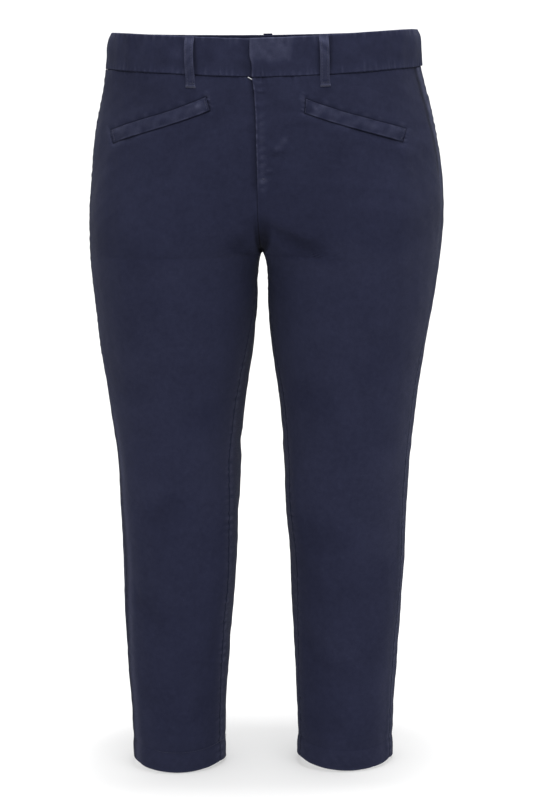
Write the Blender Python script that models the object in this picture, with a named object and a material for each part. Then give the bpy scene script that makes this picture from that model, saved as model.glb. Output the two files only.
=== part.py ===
"""Cropped skinny trousers in cotton twill, filled out as if worn, with nobody in them.

Metres, +Z up, the front faces -Y and the wearer's left is +X. The origin is the middle of the
waist, half way up the waistband. Every piece of cloth is a thin wall lofted through rows that
run from its inner seam (centre seam, then inseam) to the outseam.
"""

import math

import bpy
import numpy as np

COLLECTION = "skinny_trousers"
JOINED = "joined_pieces"

# Cloth and seams
CLOTH = 0.0013
HEM_CLOTH = 0.0026
BAND_CLOTH = 0.0024
TRIM_CLOTH = 0.0013
GAP = 0.0003

# Heights, and how much the wearer's left side stands higher than the right one, per metre across
LEAN = 0.017
WAIST_SEAM_FRONT = -0.026
WAIST_SEAM_SIDE = -0.014
WAIST_SEAM_BACK = -0.016
BAND_HEIGHT_FRONT = 0.044
BAND_HEIGHT_SIDE = 0.040
BAND_HEIGHT_BACK = 0.042
CROTCH = -0.2365
HEM = -0.8725
HEM_DEPTH = 0.022

# The centre seam runs down the front and the back and turns under to the top of the inseam.
# The bows set how soon its height levels off, and the tuck how late it turns under.
FRONT_BOW = 1.54
BACK_BOW = 1.45
SIDE_BOW = 1.25
SEAM_TUCK = 2.6

# Horizontal sections of one half. "outer" and "inner" are how far the section reaches from the
# centre plane, "front" and "back" its extremes in y, "side" and "inside" the y of its outermost
# and innermost points, and the seams lie that many degrees forward of those two points.
SECTION_COLUMNS = ("height", "outer", "inner", "front", "back", "side", "inside", "outseam", "inseam")
SECTION_ROWS = (
    (0.040, 0.1835, 0.0000, -0.1110, 0.1130, 0.000, -0.030, 8, 0),
    (-0.016, 0.1893, 0.0000, -0.1190, 0.1210, 0.003, -0.030, 8, 0),
    (-0.050, 0.1955, 0.0000, -0.1250, 0.1315, 0.008, -0.030, 8, 0),
    (-0.100, 0.2068, 0.0000, -0.1300, 0.1460, 0.015, -0.030, 8, 0),
    (-0.160, 0.2138, 0.0000, -0.1310, 0.1550, 0.020, -0.030, 9, 0),
    (-0.205, 0.2152, 0.0000, -0.1285, 0.1510, 0.020, -0.030, 10, 0),
    (-0.2365, 0.2130, 0.0040, -0.1240, 0.1410, 0.018, -0.030, 11, 0),
    (-0.300, 0.2050, 0.0073, -0.1140, 0.1190, 0.010, -0.016, 14, 12),
    (-0.370, 0.1948, 0.0145, -0.1030, 0.0980, 0.004, -0.004, 17, 22),
    (-0.440, 0.1842, 0.0238, -0.0910, 0.0830, 0.000, 0.000, 19, 28),
    (-0.530, 0.1762, 0.0285, -0.0770, 0.0690, -0.003, -0.003, 20, 30),
    (-0.620, 0.1730, 0.0336, -0.0680, 0.0700, 0.001, 0.001, 20, 29),
    (-0.720, 0.1683, 0.0402, -0.0600, 0.0710, 0.006, 0.006, 21, 27),
    (-0.800, 0.1632, 0.0446, -0.0545, 0.0680, 0.007, 0.007, 21, 26),
    (-0.8725, 0.1616, 0.0460, -0.0535, 0.0650, 0.006, 0.006, 21, 25),
)
CROTCH_OPENS_OVER = 0.004
EASE_ENDS = 0.15

# Front opening: drops below the waist seam at the centre front, then x of each edge.
FLY_COLUMNS = ("down", "left_edge", "right_edge", "lift")
FLY_ROWS = (
    (0.000, -0.0070, 0.0030, 0.0026),
    (0.008, -0.0050, 0.0040, 0.0026),
    (0.020, -0.0030, 0.0045, 0.0024),
    (0.045, -0.0012, 0.0045, 0.0018),
    (0.127, 0.0000, 0.0045, 0.0016),
    (0.136, 0.00015, -0.0003, 0.0016),
    (0.150, 0.00015, -0.00015, 0.0000),
)
FLY_WIDTH = 0.026
FLY_RAMP = 0.018

# Waistband: how far its outer face stands out from the panels, and its two ends at the front.
# The wearer's left end lifts over the right one, which dips under it. The ends' columns are x
# on each one's own side.
BAND_PROUD = 0.0008
BAND_LIFT = 0.0030
BAND_DIP = -0.0019
BAND_RAMP = 0.018
LIFT_ENDS = 0.034
DIP_ENDS = 0.010
OVERLAP = -0.008
UNDERLAP = -0.030
BAND_COLUMNS = 9
BAND_END_COLUMNS = ((0.052, 0.043, 0.034, 0.010), (0.028, 0.019, 0.010, -0.010))

# Pocket welts: (v, s) of the inner and outer ends of the top and the bottom edge
WELT_TOP = (0.081, 0.276, 0.251, 0.713)
WELT_BOTTOM = (0.138, 0.256, 0.312, 0.680)
WELT_COLUMNS = 9
WELT_CLEAR = 0.0006

# Belt loops: (height over the waist seam, clearance of the inner face) up the strip
LOOP_WIDTH = 0.0125
LOOP_CLOTH = 0.0018
LOOP_FRONT_X = 0.078
LOOP_BACK_X = 0.110
LOOP_ROWS = (
    (-0.0145, 0.0003),
    (-0.0070, 0.0003),
    (-0.0020, 0.0012),
    (0.0050, 0.0040),
    (0.0120, 0.0062),
    (0.0215, 0.0068),
    (0.0310, 0.0062),
    (0.0370, 0.0042),
    (0.0410, 0.0018),
    (0.0445, 0.0011),
)

# Zip: a plain tape behind the opening, and a slider with its pull tab
TAPE_TOP = 0.003
TAPE_BOTTOM = 0.134
TAPE_SIDES = (-0.010, 0.016)
TAPE_THICKNESS = 0.0008
TAPE_BEHIND = 0.0007
SLIDER_X = 0.0092
SLIDER_DROP = 0.011
SLIDER_OUT = -0.0003
SLIDER_SIZE = (0.0080, 0.0120, 0.0020)
TAB_CENTRE = (-0.0120, 0.0038, 0.0006)
TAB_SIZE = (0.0200, 0.0024, 0.0006)
TAB_TURN = -math.radians(27)

# Hidden hook and bar between the waistband's ends, as paths of (along, out)
CLOSURE_X = 0.014
HOOK_METAL = 0.0004
HOOK_WIDTH = 0.0085
HOOK_PATH = (
    (0.0070, 0.0001),
    (-0.0060, 0.0001),
    (-0.0072, -0.0006),
    (-0.0060, -0.0013),
    (0.0010, -0.0013),
)
BAR_METAL = 0.0005
BAR_WIDTH = 0.0030
BAR_PATH = (
    (-0.0085, -0.00135),
    (-0.0058, -0.00135),
    (-0.0052, -0.00060),
    (0.0052, -0.00060),
    (0.0058, -0.00135),
    (0.0085, -0.00135),
)

# Rows of the loft: drops below the waist seam at the centre front, then even steps down the leg
TORSO_ROWS = (0, 0.008, 0.020, 0.045, 0.072, 0.100, 0.127, 0.136, 0.150, 0.167, 0.182, 0.195, 0.205)
LEG_ROWS = 14
FRONT_COLUMNS = 11
BACK_COLUMNS = 12
DENSE = 97
STEP = 1e-4


def spline(knots, values, at):
    """Natural cubic spline through the knots."""
    x = np.asarray(knots, float)
    y = np.asarray(values, float)
    step = np.diff(x)
    slope = np.diff(y) / step
    count = len(x)
    matrix = np.eye(count)
    right = np.zeros(count)
    for i in range(1, count - 1):
        matrix[i, i - 1 : i + 2] = step[i - 1], 2 * (step[i - 1] + step[i]), step[i]
        right[i] = 6 * (slope[i] - slope[i - 1])
    bend = np.linalg.solve(matrix, right)
    at = np.clip(np.asarray(at, float), x[0], x[-1])
    i = np.clip(np.searchsorted(x, at, side="right") - 1, 0, count - 2)
    near = at - x[i]
    far = x[i + 1] - at
    curve = (bend[i] * far**3 + bend[i + 1] * near**3) / (6 * step[i])
    line = (y[i] / step[i] - bend[i] * step[i] / 6) * far
    return curve + line + (y[i + 1] / step[i] - bend[i + 1] * step[i] / 6) * near


def section(z):
    """The section columns at the heights z, as a dictionary of arrays."""
    table = np.array(SECTION_ROWS)[::-1]
    found = {name: spline(table[:, 0], table[:, i], z) for i, name in enumerate(SECTION_COLUMNS)}
    below = np.clip(CROTCH - np.asarray(z, float), 0, None)
    found["inner"] = found["inner"] * (1 - np.exp(-below / CROTCH_OPENS_OVER))
    return found


def centre_seam(half, v):
    """How far round the leg's oval the centre seam lies at v, and its height."""
    top, bow = {"front": (WAIST_SEAM_FRONT, FRONT_BOW), "back": (WAIST_SEAM_BACK, BACK_BOW)}[half]
    return math.pi / 2 * (1 - v**SEAM_TUCK), CROTCH + (top - CROTCH) * (1 - v) ** bow


def smooth_step(t):
    t = np.clip(t, 0, 1)
    return t * t * (3 - 2 * t)


def oval(half, z, turn):
    """Points (x, y) of a leg's section, where turn is 0 at its innermost point and pi at its outermost."""
    at = section(z)
    other = {"front": "back", "back": "front"}[half]
    x = (at["outer"] + at["inner"]) / 2 - (at["outer"] - at["inner"]) / 2 * np.cos(turn)
    middle = at["inside"] + (at["side"] - at["inside"]) * (1 - np.cos(turn)) / 2
    toward = np.where(np.sin(turn) >= 0, at[half], at[other])
    return x, middle + (toward - middle) * np.abs(np.sin(turn))


def row(half, z, z_in, start, s, ease):
    """A row's points, where it starts that far round the oval and is drawn over to the centre plane.

    s is 0 at the centre seam or inseam and 1 at the outseam.
    """
    sign = {"front": 1, "back": -1}[half]
    end = math.pi - np.radians(section(z)["outseam"]) * sign
    eased = (1 - ease) * s + ease * s * np.abs(s) * (2 - s)
    x, y = oval(half, z, start + (end - start) * eased)
    if z_in is not None:
        x = x - oval(half, z_in, start)[0] * (1 - np.sin(s * math.pi / 2))
    return np.stack([x, y, z], -1)


def slope(at_centre, at_side, s):
    """A height that runs softly from the centre seam's to the outseam's."""
    return at_side + (at_centre - at_side) * (1 + np.cos(math.pi * s)) / 2


def surface(half, v, s):
    """Points of the cloth's outer face on the +X side: v is 0 at the waist seam, 1 at the crotch, 2 at the hem."""
    s = np.asarray(s, float)
    if v > 1:
        z = np.full_like(s, CROTCH + (v - 1) * (HEM - CROTCH))
        start = np.radians(section(z[0])["inseam"]) * {"front": 1, "back": -1}[half]
        return row(half, z, None, start, s, 1 - smooth_step((v - 1) / EASE_ENDS))
    start, z_in = centre_seam(half, v)
    z_out = CROTCH + (WAIST_SEAM_SIDE - CROTCH) * (1 - v) ** SIDE_BOW
    return row(half, slope(z_in, z_out, s), z_in, start, s, 1)


def waist(half, s, rise):
    """Points at that height above the waist seam (below it where negative), on the cloth's outer face."""
    s = np.asarray(s, float)
    seam = {"front": WAIST_SEAM_FRONT, "back": WAIST_SEAM_BACK}[half]
    return row(half, slope(seam, WAIST_SEAM_SIDE, s) + rise, seam + np.mean(rise), math.pi / 2, s, 1)


def unit(vectors):
    return vectors / np.linalg.norm(vectors, axis=-1, keepdims=True)


def normals(half, v, s):
    """Outward unit normals of the panels on the +X side."""
    across = surface(half, v, s + STEP) - surface(half, v, s - STEP)
    down = surface(half, min(v + STEP, 2.0), s) - surface(half, max(v - STEP, 0.0), s)
    return unit(np.cross(down, across)) * {"front": 1, "back": -1}[half]


def waist_normals(half, s, rise):
    across = waist(half, s + STEP, rise) - waist(half, s - STEP, rise)
    up = waist(half, s, rise + STEP) - waist(half, s, rise - STEP)
    return unit(np.cross(across, up)) * {"front": 1, "back": -1}[half]


def spread(half, v, count, first=None):
    """Values of s for evenly spaced points of a row, half a seam gap in from each end.

    first is the x at which the row starts, for a front edge at the opening.
    """
    s = np.linspace(-0.1, 1, DENSE)
    points = surface(half, v, s)
    length = np.concatenate([[0], np.cumsum(np.linalg.norm(np.diff(points, axis=0), axis=1))])
    start = np.interp(0, s, length) + GAP / 2
    if first is not None:
        start = np.interp(first, points[:, 0], length)
    return np.interp(np.linspace(start, length[-1] - GAP / 2, count), length, s)


def drop_at(v):
    """Drop below the waist seam at the centre front."""
    return WAIST_SEAM_FRONT - centre_seam("front", min(v, 1.0))[1]


def row_at(drop):
    """The v whose row has this drop at the centre front."""
    return 1 - (1 - drop / (WAIST_SEAM_FRONT - CROTCH)) ** (1 / FRONT_BOW)


def fly(v, column):
    table = np.array(FLY_ROWS)
    return np.interp(drop_at(v), table[:, 0], table[:, FLY_COLUMNS.index(column)])


def fly_lift(v, x):
    """How far the wearer's left front stands out over the zip."""
    return fly(v, "lift") * (1 - smooth_step((x - FLY_WIDTH) / FLY_RAMP))


def material(name, colour, roughness, metallic):
    made = bpy.data.materials.new(name)
    made.use_nodes = True
    shader = made.node_tree.nodes["Principled BSDF"]
    shader.inputs["Base Color"].default_value = (*colour, 1)
    shader.inputs["Roughness"].default_value = roughness
    shader.inputs["Metallic"].default_value = metallic
    return made


def ring_of(rows, columns):
    """The border of a grid, as (row, column) pairs in order."""
    top = [(0, j) for j in range(columns)]
    right = [(i, columns - 1) for i in range(1, rows)]
    bottom = [(rows - 1, j) for j in range(columns - 2, -1, -1)]
    left = [(i, 0) for i in range(rows - 2, 0, -1)]
    return top + right + bottom + left


def shell(name, outer, inner, made_of, mirror=False):
    """A closed wall between two grids of points with the same rows and columns."""
    outer = np.array(outer, float)
    inner = np.array(inner, float)
    rows, columns = outer.shape[:2]
    if mirror:
        outer[..., 0] *= -1
        inner[..., 0] *= -1

    def at(i, j, inside):
        return (i * columns + j) + inside * rows * columns

    faces = []
    for i in range(rows - 1):
        for j in range(columns - 1):
            corners = (i, j), (i + 1, j), (i + 1, j + 1), (i, j + 1)
            faces.append([at(*corner, 0) for corner in corners])
            faces.append([at(*corner, 1) for corner in reversed(corners)])
    ring = ring_of(rows, columns)
    for here, after in zip(ring, ring[1:] + ring[:1]):
        faces.append([at(*here, 0), at(*after, 0), at(*after, 1), at(*here, 1)])
    points = np.concatenate([outer.reshape(-1, 3), inner.reshape(-1, 3)])
    points[:, 2] += LEAN * points[:, 0]
    mesh = bpy.data.meshes.new(name)
    mesh.from_pydata([tuple(point) for point in points], [], faces)
    if outward(points, faces) < 0:
        mesh.flip_normals()
    mesh.shade_smooth()
    mesh.set_sharp_from_angle(angle=math.radians(40))
    mesh.materials.append(made_of)
    thing = bpy.data.objects.new(name, mesh)
    bpy.data.collections[COLLECTION].objects.link(thing)
    return thing


def outward(points, faces):
    """Six times the signed volume, positive where the faces point out."""
    total = 0.0
    for face in faces:
        a, b, c, d = (points[i] for i in face)
        total += np.dot(a, np.cross(b, c)) + np.dot(a, np.cross(c, d))
    return total


def panel_rows():
    """The v of each row of a panel, and the wall's thickness there."""
    torso = [row_at(drop) for drop in TORSO_ROWS]
    fold = 2 - HEM_DEPTH / (CROTCH - HEM)
    fold_over = 2 - (HEM_DEPTH + 0.002) / (CROTCH - HEM)
    legs = list(np.linspace(1, fold_over, LEG_ROWS))
    wall = [CLOTH] * (len(torso) + LEG_ROWS) + [HEM_CLOTH] * 2
    return list(zip(torso + legs + [fold, 2.0], wall))


def panel(name, half, mirror, made_of):
    """One front or back, from the waist seam to the hem."""
    outer, inner = [], []
    columns = {"front": FRONT_COLUMNS, "back": BACK_COLUMNS}[half]
    edge = "right_edge" if mirror else "left_edge"
    for v, wall in panel_rows():
        first = None
        if half == "front" and drop_at(v) < FLY_ROWS[-1][0]:
            first = fly(v, edge) * (-1 if mirror else 1)
        s = spread(half, v, columns, first)
        points = surface(half, v, s)
        out = normals(half, v, s)
        if first is None:
            points[:, 0] = np.maximum(points[:, 0], GAP / 2)
        lift = 0 * s
        if half == "front" and not mirror:
            lift = fly_lift(v, points[:, 0])
        outer.append(points + out * lift[:, None])
        inner.append(points + out * (lift - wall)[:, None])
    return shell(name, outer, inner, made_of, mirror)


def s_of(half, x, v=0.0):
    """The s at which a row reaches this x."""
    s = np.linspace(-0.3, 0.9, DENSE)
    return np.interp(x, surface(half, v, s)[:, 0], s)


def band_offset(x, mirror):
    """How far the waistband's outer face stands out, where its two ends pass each other."""
    if mirror:
        return BAND_DIP + (BAND_PROUD - BAND_DIP) * smooth_step((x - DIP_ENDS) / BAND_RAMP)
    return BAND_LIFT + (BAND_PROUD - BAND_LIFT) * smooth_step((x - LIFT_ENDS) / BAND_RAMP)


def band(name, mirror, made_of):
    """Half the waistband, from the centre back round to its end past the centre front."""
    end = UNDERLAP if mirror else OVERLAP
    back = np.linspace(s_of("back", GAP / 2), 1, BAND_COLUMNS)
    front_x = [*BAND_END_COLUMNS[mirror], end]
    front = np.concatenate([np.linspace(1, s_of("front", front_x[0]), BAND_COLUMNS), s_of("front", front_x[1:])])
    outer, inner = [], []
    for share in np.linspace(0, 1, 3):
        for half, s in (("back", back), ("front", front[1:])):
            at_centre = {"back": BAND_HEIGHT_BACK, "front": BAND_HEIGHT_FRONT}[half]
            rise = GAP + share * slope(at_centre, BAND_HEIGHT_SIDE, s)
            points = waist(half, s, rise)
            out = waist_normals(half, s, rise)
            offset = np.full_like(s, BAND_PROUD)
            if half == "front":
                offset = band_offset(points[:, 0], mirror)
            if half == "back":
                outer.append([])
                inner.append([])
            outer[-1].extend(points + out * offset[:, None])
            inner[-1].extend(points + out * (offset - BAND_CLOTH)[:, None])
    return shell(name, outer, inner, made_of, mirror)


def welt(name, mirror, made_of):
    """A pocket's welt: its corners on the front, moved out by a gap and the cloth."""
    outer, inner = [], []
    for down in np.linspace(0, 1, 3):
        outer.append([])
        inner.append([])
        for out_share in np.linspace(0, 1, WELT_COLUMNS):
            v_in, s_in, v_out, s_out = (a + (b - a) * down for a, b in zip(WELT_TOP, WELT_BOTTOM))
            v = v_in + (v_out - v_in) * out_share
            s = np.array([s_in + (s_out - s_in) * out_share])
            point = surface("front", v, s)[0]
            out = normals("front", v, s)[0]
            inner[-1].append(point + out * WELT_CLEAR)
            outer[-1].append(point + out * (WELT_CLEAR + TRIM_CLOTH))
    return shell(name, outer, inner, made_of, mirror)


def frame_at(half, x, rise):
    """Origin and (side, up, out) directions on the waist's face at this x and height over its seam."""
    s = np.array([s_of(half, x)])
    rise = np.array([rise])
    out = waist_normals(half, s, rise)[0]
    side = unit(np.cross(np.array([0, 0, 1.0]), out))
    if side[0] < 0:
        side = -side
    up = unit(np.cross(side, out))
    return waist(half, s, rise)[0], side, up if up[2] > 0 else -up, out


def belt_loop(name, half, x, mirror, made_of):
    """A strip from below the waist seam to the waistband's top edge, standing off between its ends."""
    outer, inner = [], []
    taller = {"front": 1, "back": BAND_HEIGHT_BACK / BAND_HEIGHT_FRONT}[half]
    middle = s_of(half, x)
    wide = LOOP_WIDTH / np.linalg.norm(waist(half, [middle + STEP], 0) - waist(half, [middle], 0)) * STEP
    s = middle + wide * np.linspace(-0.5, 0.5, 3)
    for rise, clear in LOOP_ROWS:
        rise = rise * taller + 0 * s
        points = waist(half, s, rise)
        out = waist_normals(half, s, rise)
        inner.append(points + out * clear)
        outer.append(points + out * (clear + LOOP_CLOTH))
    return shell(name, outer, inner, made_of, mirror)


def strip(name, frame, path, width, thickness, upright, made_of):
    """A bent metal strip in a flat frame: a path of (along, out), swept square to it across its width."""
    origin, side, up, out = frame
    along, across = (up, side) if upright else (side, up)
    path = np.array(path)
    ahead = np.gradient(path, axis=0)
    square = unit(np.stack([-ahead[:, 1], ahead[:, 0]], -1)) * thickness / 2
    faces = []
    for edge in (path + square, path - square):
        faces.append([[origin + along * a + out * b + across * c for c in (-width / 2, width / 2)] for a, b in edge])
    return shell(name, faces[0], faces[1], made_of)


def zip_tape(name, made_of):
    """The closed zip's tape and chain, as one plain strip behind the opening."""
    outer, inner = [], []
    for drop in np.linspace(TAPE_TOP, TAPE_BOTTOM, 7):
        v = row_at(drop)
        s = s_of("front", np.linspace(*TAPE_SIDES, 3), v)
        points = surface("front", v, s)
        out = normals("front", v, s)
        outer.append(points - out * (CLOTH + TAPE_BEHIND))
        inner.append(points - out * (CLOTH + TAPE_BEHIND + TAPE_THICKNESS))
    return shell(name, outer, inner, made_of)


def block(name, frame, centre, size, turn, made_of):
    """A box in a frame, turned about the frame's outward direction."""
    origin, side, up, out = frame
    along = side * math.cos(turn) + up * math.sin(turn)
    across = up * math.cos(turn) - side * math.sin(turn)
    place = origin + side * centre[0] + up * centre[1] + out * centre[2]
    faces = []
    for depth in (0.5, -0.5):
        middle = place + out * size[2] * depth
        ends = [middle + along * size[0] * a for a in (-0.5, 0.5)]
        faces.append([[end + across * size[1] * b for b in (-0.5, 0.5)] for end in ends])
    return shell(name, faces[0], faces[1], made_of)


def zip_slider(name, made_of):
    """The slider's body at the top of the chain, with its pull tab turned up past the fly's edge."""
    frame = frame_at("front", SLIDER_X, -SLIDER_DROP)
    body = block(name, frame, (0, 0, SLIDER_OUT), SLIDER_SIZE, 0, made_of)
    tab = block(name + "_tab", frame, TAB_CENTRE, TAB_SIZE, TAB_TURN, made_of)
    tab.hide_render = True
    tab.display_type = "WIRE"
    bpy.data.collections[COLLECTION].objects.unlink(tab)
    bpy.data.collections[JOINED].objects.link(tab)
    union = body.modifiers.new("tab", "BOOLEAN")
    union.operation = "UNION"
    union.object = tab
    return body


def main():
    for thing in list(bpy.data.objects):
        bpy.data.objects.remove(thing)
    for collection in (COLLECTION, JOINED):
        bpy.context.scene.collection.children.link(bpy.data.collections.new(collection))
    twill = material("navy_twill", (0.020, 0.026, 0.062), 0.9, 0)
    tape = material("navy_tape", (0.015, 0.020, 0.050), 0.8, 0)
    steel = material("steel", (0.62, 0.62, 0.63), 0.3, 1)
    for side, mirror in (("left", False), ("right", True)):
        for half in ("front", "back"):
            panel(f"{half}_{side}", half, mirror, twill)
        band(f"waistband_{side}", mirror, twill)
        welt(f"pocket_welt_{side}", mirror, twill)
        belt_loop(f"belt_loop_front_{side}", "front", LOOP_FRONT_X, mirror, twill)
        belt_loop(f"belt_loop_back_{side}", "back", LOOP_BACK_X, mirror, twill)
    belt_loop("belt_loop_centre_back", "back", 0.0, False, twill)
    zip_tape("zip_tape", tape)
    zip_slider("zip_slider", steel)
    closure = frame_at("front", CLOSURE_X, BAND_HEIGHT_FRONT / 2)
    strip("waist_hook", closure, HOOK_PATH, HOOK_WIDTH, HOOK_METAL, False, steel)
    strip("waist_bar", closure, BAR_PATH, BAR_WIDTH, BAR_METAL, True, steel)


if __name__ == "__main__":
    main()
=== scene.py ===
"""Looks of cropped skinny trousers in navy twill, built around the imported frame.

Each operator makes one piece of the garment, or a group of like pieces, from the same worn form: a
loft through the sections of a leg and of the trunk. Metres, +Z up, the front faces -Y and the
wearer's left is +X.
"""

import math

import bmesh
import bpy
import numpy as np
from bpy.props import FloatProperty, FloatVectorProperty, PointerProperty
from mathutils import Matrix, Vector


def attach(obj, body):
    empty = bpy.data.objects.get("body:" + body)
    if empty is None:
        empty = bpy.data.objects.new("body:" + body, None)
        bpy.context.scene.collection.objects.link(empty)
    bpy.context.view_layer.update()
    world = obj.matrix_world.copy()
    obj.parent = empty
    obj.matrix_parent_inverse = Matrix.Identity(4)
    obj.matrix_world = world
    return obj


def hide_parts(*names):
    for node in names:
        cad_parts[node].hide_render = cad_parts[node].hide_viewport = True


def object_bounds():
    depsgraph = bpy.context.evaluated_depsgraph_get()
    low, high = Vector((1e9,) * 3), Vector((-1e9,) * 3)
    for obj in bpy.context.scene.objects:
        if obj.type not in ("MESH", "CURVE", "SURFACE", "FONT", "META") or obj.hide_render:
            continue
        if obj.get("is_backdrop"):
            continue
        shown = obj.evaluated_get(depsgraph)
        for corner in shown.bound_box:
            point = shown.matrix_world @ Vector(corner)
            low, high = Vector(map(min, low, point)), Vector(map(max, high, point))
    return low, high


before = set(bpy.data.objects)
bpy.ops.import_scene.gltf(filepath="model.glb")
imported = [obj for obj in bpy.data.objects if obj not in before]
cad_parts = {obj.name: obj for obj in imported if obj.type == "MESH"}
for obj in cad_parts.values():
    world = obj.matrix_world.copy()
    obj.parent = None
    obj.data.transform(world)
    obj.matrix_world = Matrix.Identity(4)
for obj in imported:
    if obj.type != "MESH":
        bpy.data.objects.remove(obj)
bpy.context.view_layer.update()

BODY = "root"
SIDES = (("left", False), ("right", True))

bl_info = {
    "name": "Skinny trousers",
    "version": (1, 0, 0),
    "blender": (4, 5, 0),
    "location": "View3D > Sidebar > Trousers",
    "description": "Makes a pair of cropped skinny trousers in twill, piece by piece",
    "category": "Add Mesh",
}

# Worn form, the same as the solids': heights, how the seams run, and sections of the +X leg and of
# that half of the trunk. The seams' places in a section are in degrees round it.
WAIST_SEAM = {"front": -0.026, "side": -0.0152, "back": -0.016}
BAND_HEIGHT = {"front": 0.044, "side": 0.0435, "back": 0.042}
CROTCH = -0.2345
HEM = -0.8725
LEG = CROTCH - HEM
HEM_DEPTH = 0.0255
SEAM_BOW = {"front": 1.54, "back": 1.45}
SIDE_BOW = 1.25
SEAM_TUCK = 2.6
CROTCH_OPENS_OVER = 0.008
EASE_ENDS = 0.15
SIGN = {"front": 1, "back": -1}
SECTION_COLUMNS = ("height", "outer", "inner", "front", "back", "side", "inside", "outseam", "inseam")
SECTION_ROWS = (
    (0.040, 0.1835, 0.0000, -0.1110, 0.1130, 0.000, -0.030, 8, 0),
    (-0.016, 0.1893, 0.0000, -0.1190, 0.1210, 0.003, -0.030, 8, 0),
    (-0.050, 0.1955, 0.0000, -0.1250, 0.1315, 0.008, -0.030, 8, 0),
    (-0.100, 0.2068, 0.0000, -0.1300, 0.1460, 0.015, -0.030, 8, 0),
    (-0.160, 0.2138, 0.0000, -0.1310, 0.1550, 0.020, -0.030, 9, 0),
    (-0.205, 0.2152, 0.0000, -0.1285, 0.1510, 0.020, -0.030, 10, 0),
    (-0.2365, 0.2130, 0.0044, -0.1240, 0.1410, 0.018, -0.030, 11, 0),
    (-0.300, 0.2050, 0.0069, -0.1140, 0.1190, 0.010, -0.016, 14, 12),
    (-0.370, 0.1948, 0.0145, -0.1030, 0.0980, 0.004, -0.004, 17, 22),
    (-0.440, 0.1842, 0.0238, -0.0910, 0.0830, 0.000, 0.000, 19, 28),
    (-0.530, 0.1762, 0.0285, -0.0770, 0.0690, -0.003, -0.003, 20, 30),
    (-0.620, 0.1730, 0.0336, -0.0680, 0.0700, 0.001, 0.001, 20, 29),
    (-0.720, 0.1683, 0.0402, -0.0600, 0.0710, 0.006, 0.006, 21, 27),
    (-0.800, 0.1632, 0.0446, -0.0545, 0.0680, 0.007, 0.007, 21, 26),
    (-0.8725, 0.1616, 0.0460, -0.0535, 0.0650, 0.006, 0.006, 21, 25),
)

# How this pair hangs. The waist is swayed, and the whole pair leans. The waist seam dips on the
# wearer's left: how far, how much further outwards, and the height and reach of the dip.
LEAN = 0.017
SWAY = -0.0021
SWAY_FROM = -0.070
SWAY_OVER = 0.050
SEAM_DIP = (0.0011, 0.0007, -0.0215, 0.011)
SEAM_DIP_GROWS = (0.03, 0.06)
FRONT_DEPTH = 0.05

# A hem is raised at its seams, by the first of these, and drops between them, by the second. Then
# each leg's hem is raised or lowered, and tilted about the middle of its leg.
HEM_SWING = {"front": (0.0035, -0.0065), "back": (0.0035, -0.0035)}
HEM_SWING_FROM = 1.75
HEM_TILT = -0.020
HEM_RISES = (0.0041, -0.0016)
HEM_LEAN_FROM = -0.740
HEM_LEAN_OVER = 0.120
LEG_MIDDLE = 0.104

# The arch at the top of the gap between the legs: its width, the distances over which it opens and
# closes again, and its reach round the leg
CROTCH_ARCH = (0.0088, 0.0004, 0.0050, 0.05)

# Front opening: drops below the waist seam at the centre front, then x of each front's edge
FLY_COLUMNS = ("down", "left_edge", "right_edge", "lift")
FLY_ROWS = (
    (0.000, -0.0054, 0.0030, 0.0025),
    (0.005, -0.0049, 0.0036, 0.0025),
    (0.018, -0.0034, 0.0045, 0.0023),
    (0.030, -0.0033, 0.0045, 0.0021),
    (0.045, -0.0024, 0.0045, 0.0018),
    (0.120, 0.0000, 0.0045, 0.0016),
    (0.136, 0.0000, 0.0000, 0.0010),
    (0.150, 0.0000, 0.0000, 0.0000),
)
FLY_WIDTH = 0.026
FLY_RAMP = 0.018
FLY_ENDS = 0.124
FLY_ENDS_OVER = 0.014
FLY_THICKER = 0.0008

# Dimples beside the fly: x, z, size across and down, height, and how much paler their painted highlight makes
# them, negative for painted shade
DIMPLE_SLANT = 0.55
FLY_DIMPLES = (
    (0.0308, -0.0990, 0.0032, 0.0040, 0.0009, 0.36),
    (0.0240, -0.1075, 0.0036, 0.0032, 0.0008, 0.30),
    (0.0205, -0.1150, 0.0032, 0.0026, -0.0008, -0.34),
    (0.0297, -0.1128, 0.0030, 0.0026, -0.0007, -0.28),
    (0.0345, -0.0790, 0.0030, 0.0036, 0.0005, 0.14),
    (0.0143, -0.1325, 0.0017, 0.0017, 0.0006, 0.60),
    (0.0143, -0.1368, 0.0044, 0.0022, -0.0006, -0.22),
    (0.0057, -0.1440, 0.0070, 0.0030, 0.0003, 0.30),
    (0.0030, -0.0330, 0.0050, 0.0014, 0.0005, 0.34),
    (0.0080, -0.0360, 0.0046, 0.0014, -0.0005, -0.22),
    (0.0040, -0.0415, 0.0042, 0.0014, 0.0005, 0.34),
    (0.0050, -0.0445, 0.0042, 0.0012, -0.0004, -0.22),
    (0.0480, -0.1518, 0.0030, 0.0012, -0.0004, 0.12),
)

# Waistband, as in the solids: how far its front stands off the form past the ends, at the overlap and
# at the underlap, and where the ends lie. Its lines are a place up the band, a width and a shade.
BAND_PROUD = 0.0009
BAND_LIFT = 0.0030
BAND_DIP = -0.0019
BAND_RAMP = 0.018
LIFT_ENDS = 0.034
DIP_ENDS = 0.010
OVERLAP = -0.0056
OVERLAP_SWING = -0.0034
UNDERLAP = -0.030
BAND_CLEARS = 0.0002
BAND_STEP = 0.0021
BAND_COLUMN = 0.0022
BAND_LINES = ((0.0, 0.0007, -0.50), (0.0120, 0.0070, -0.12))

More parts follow.
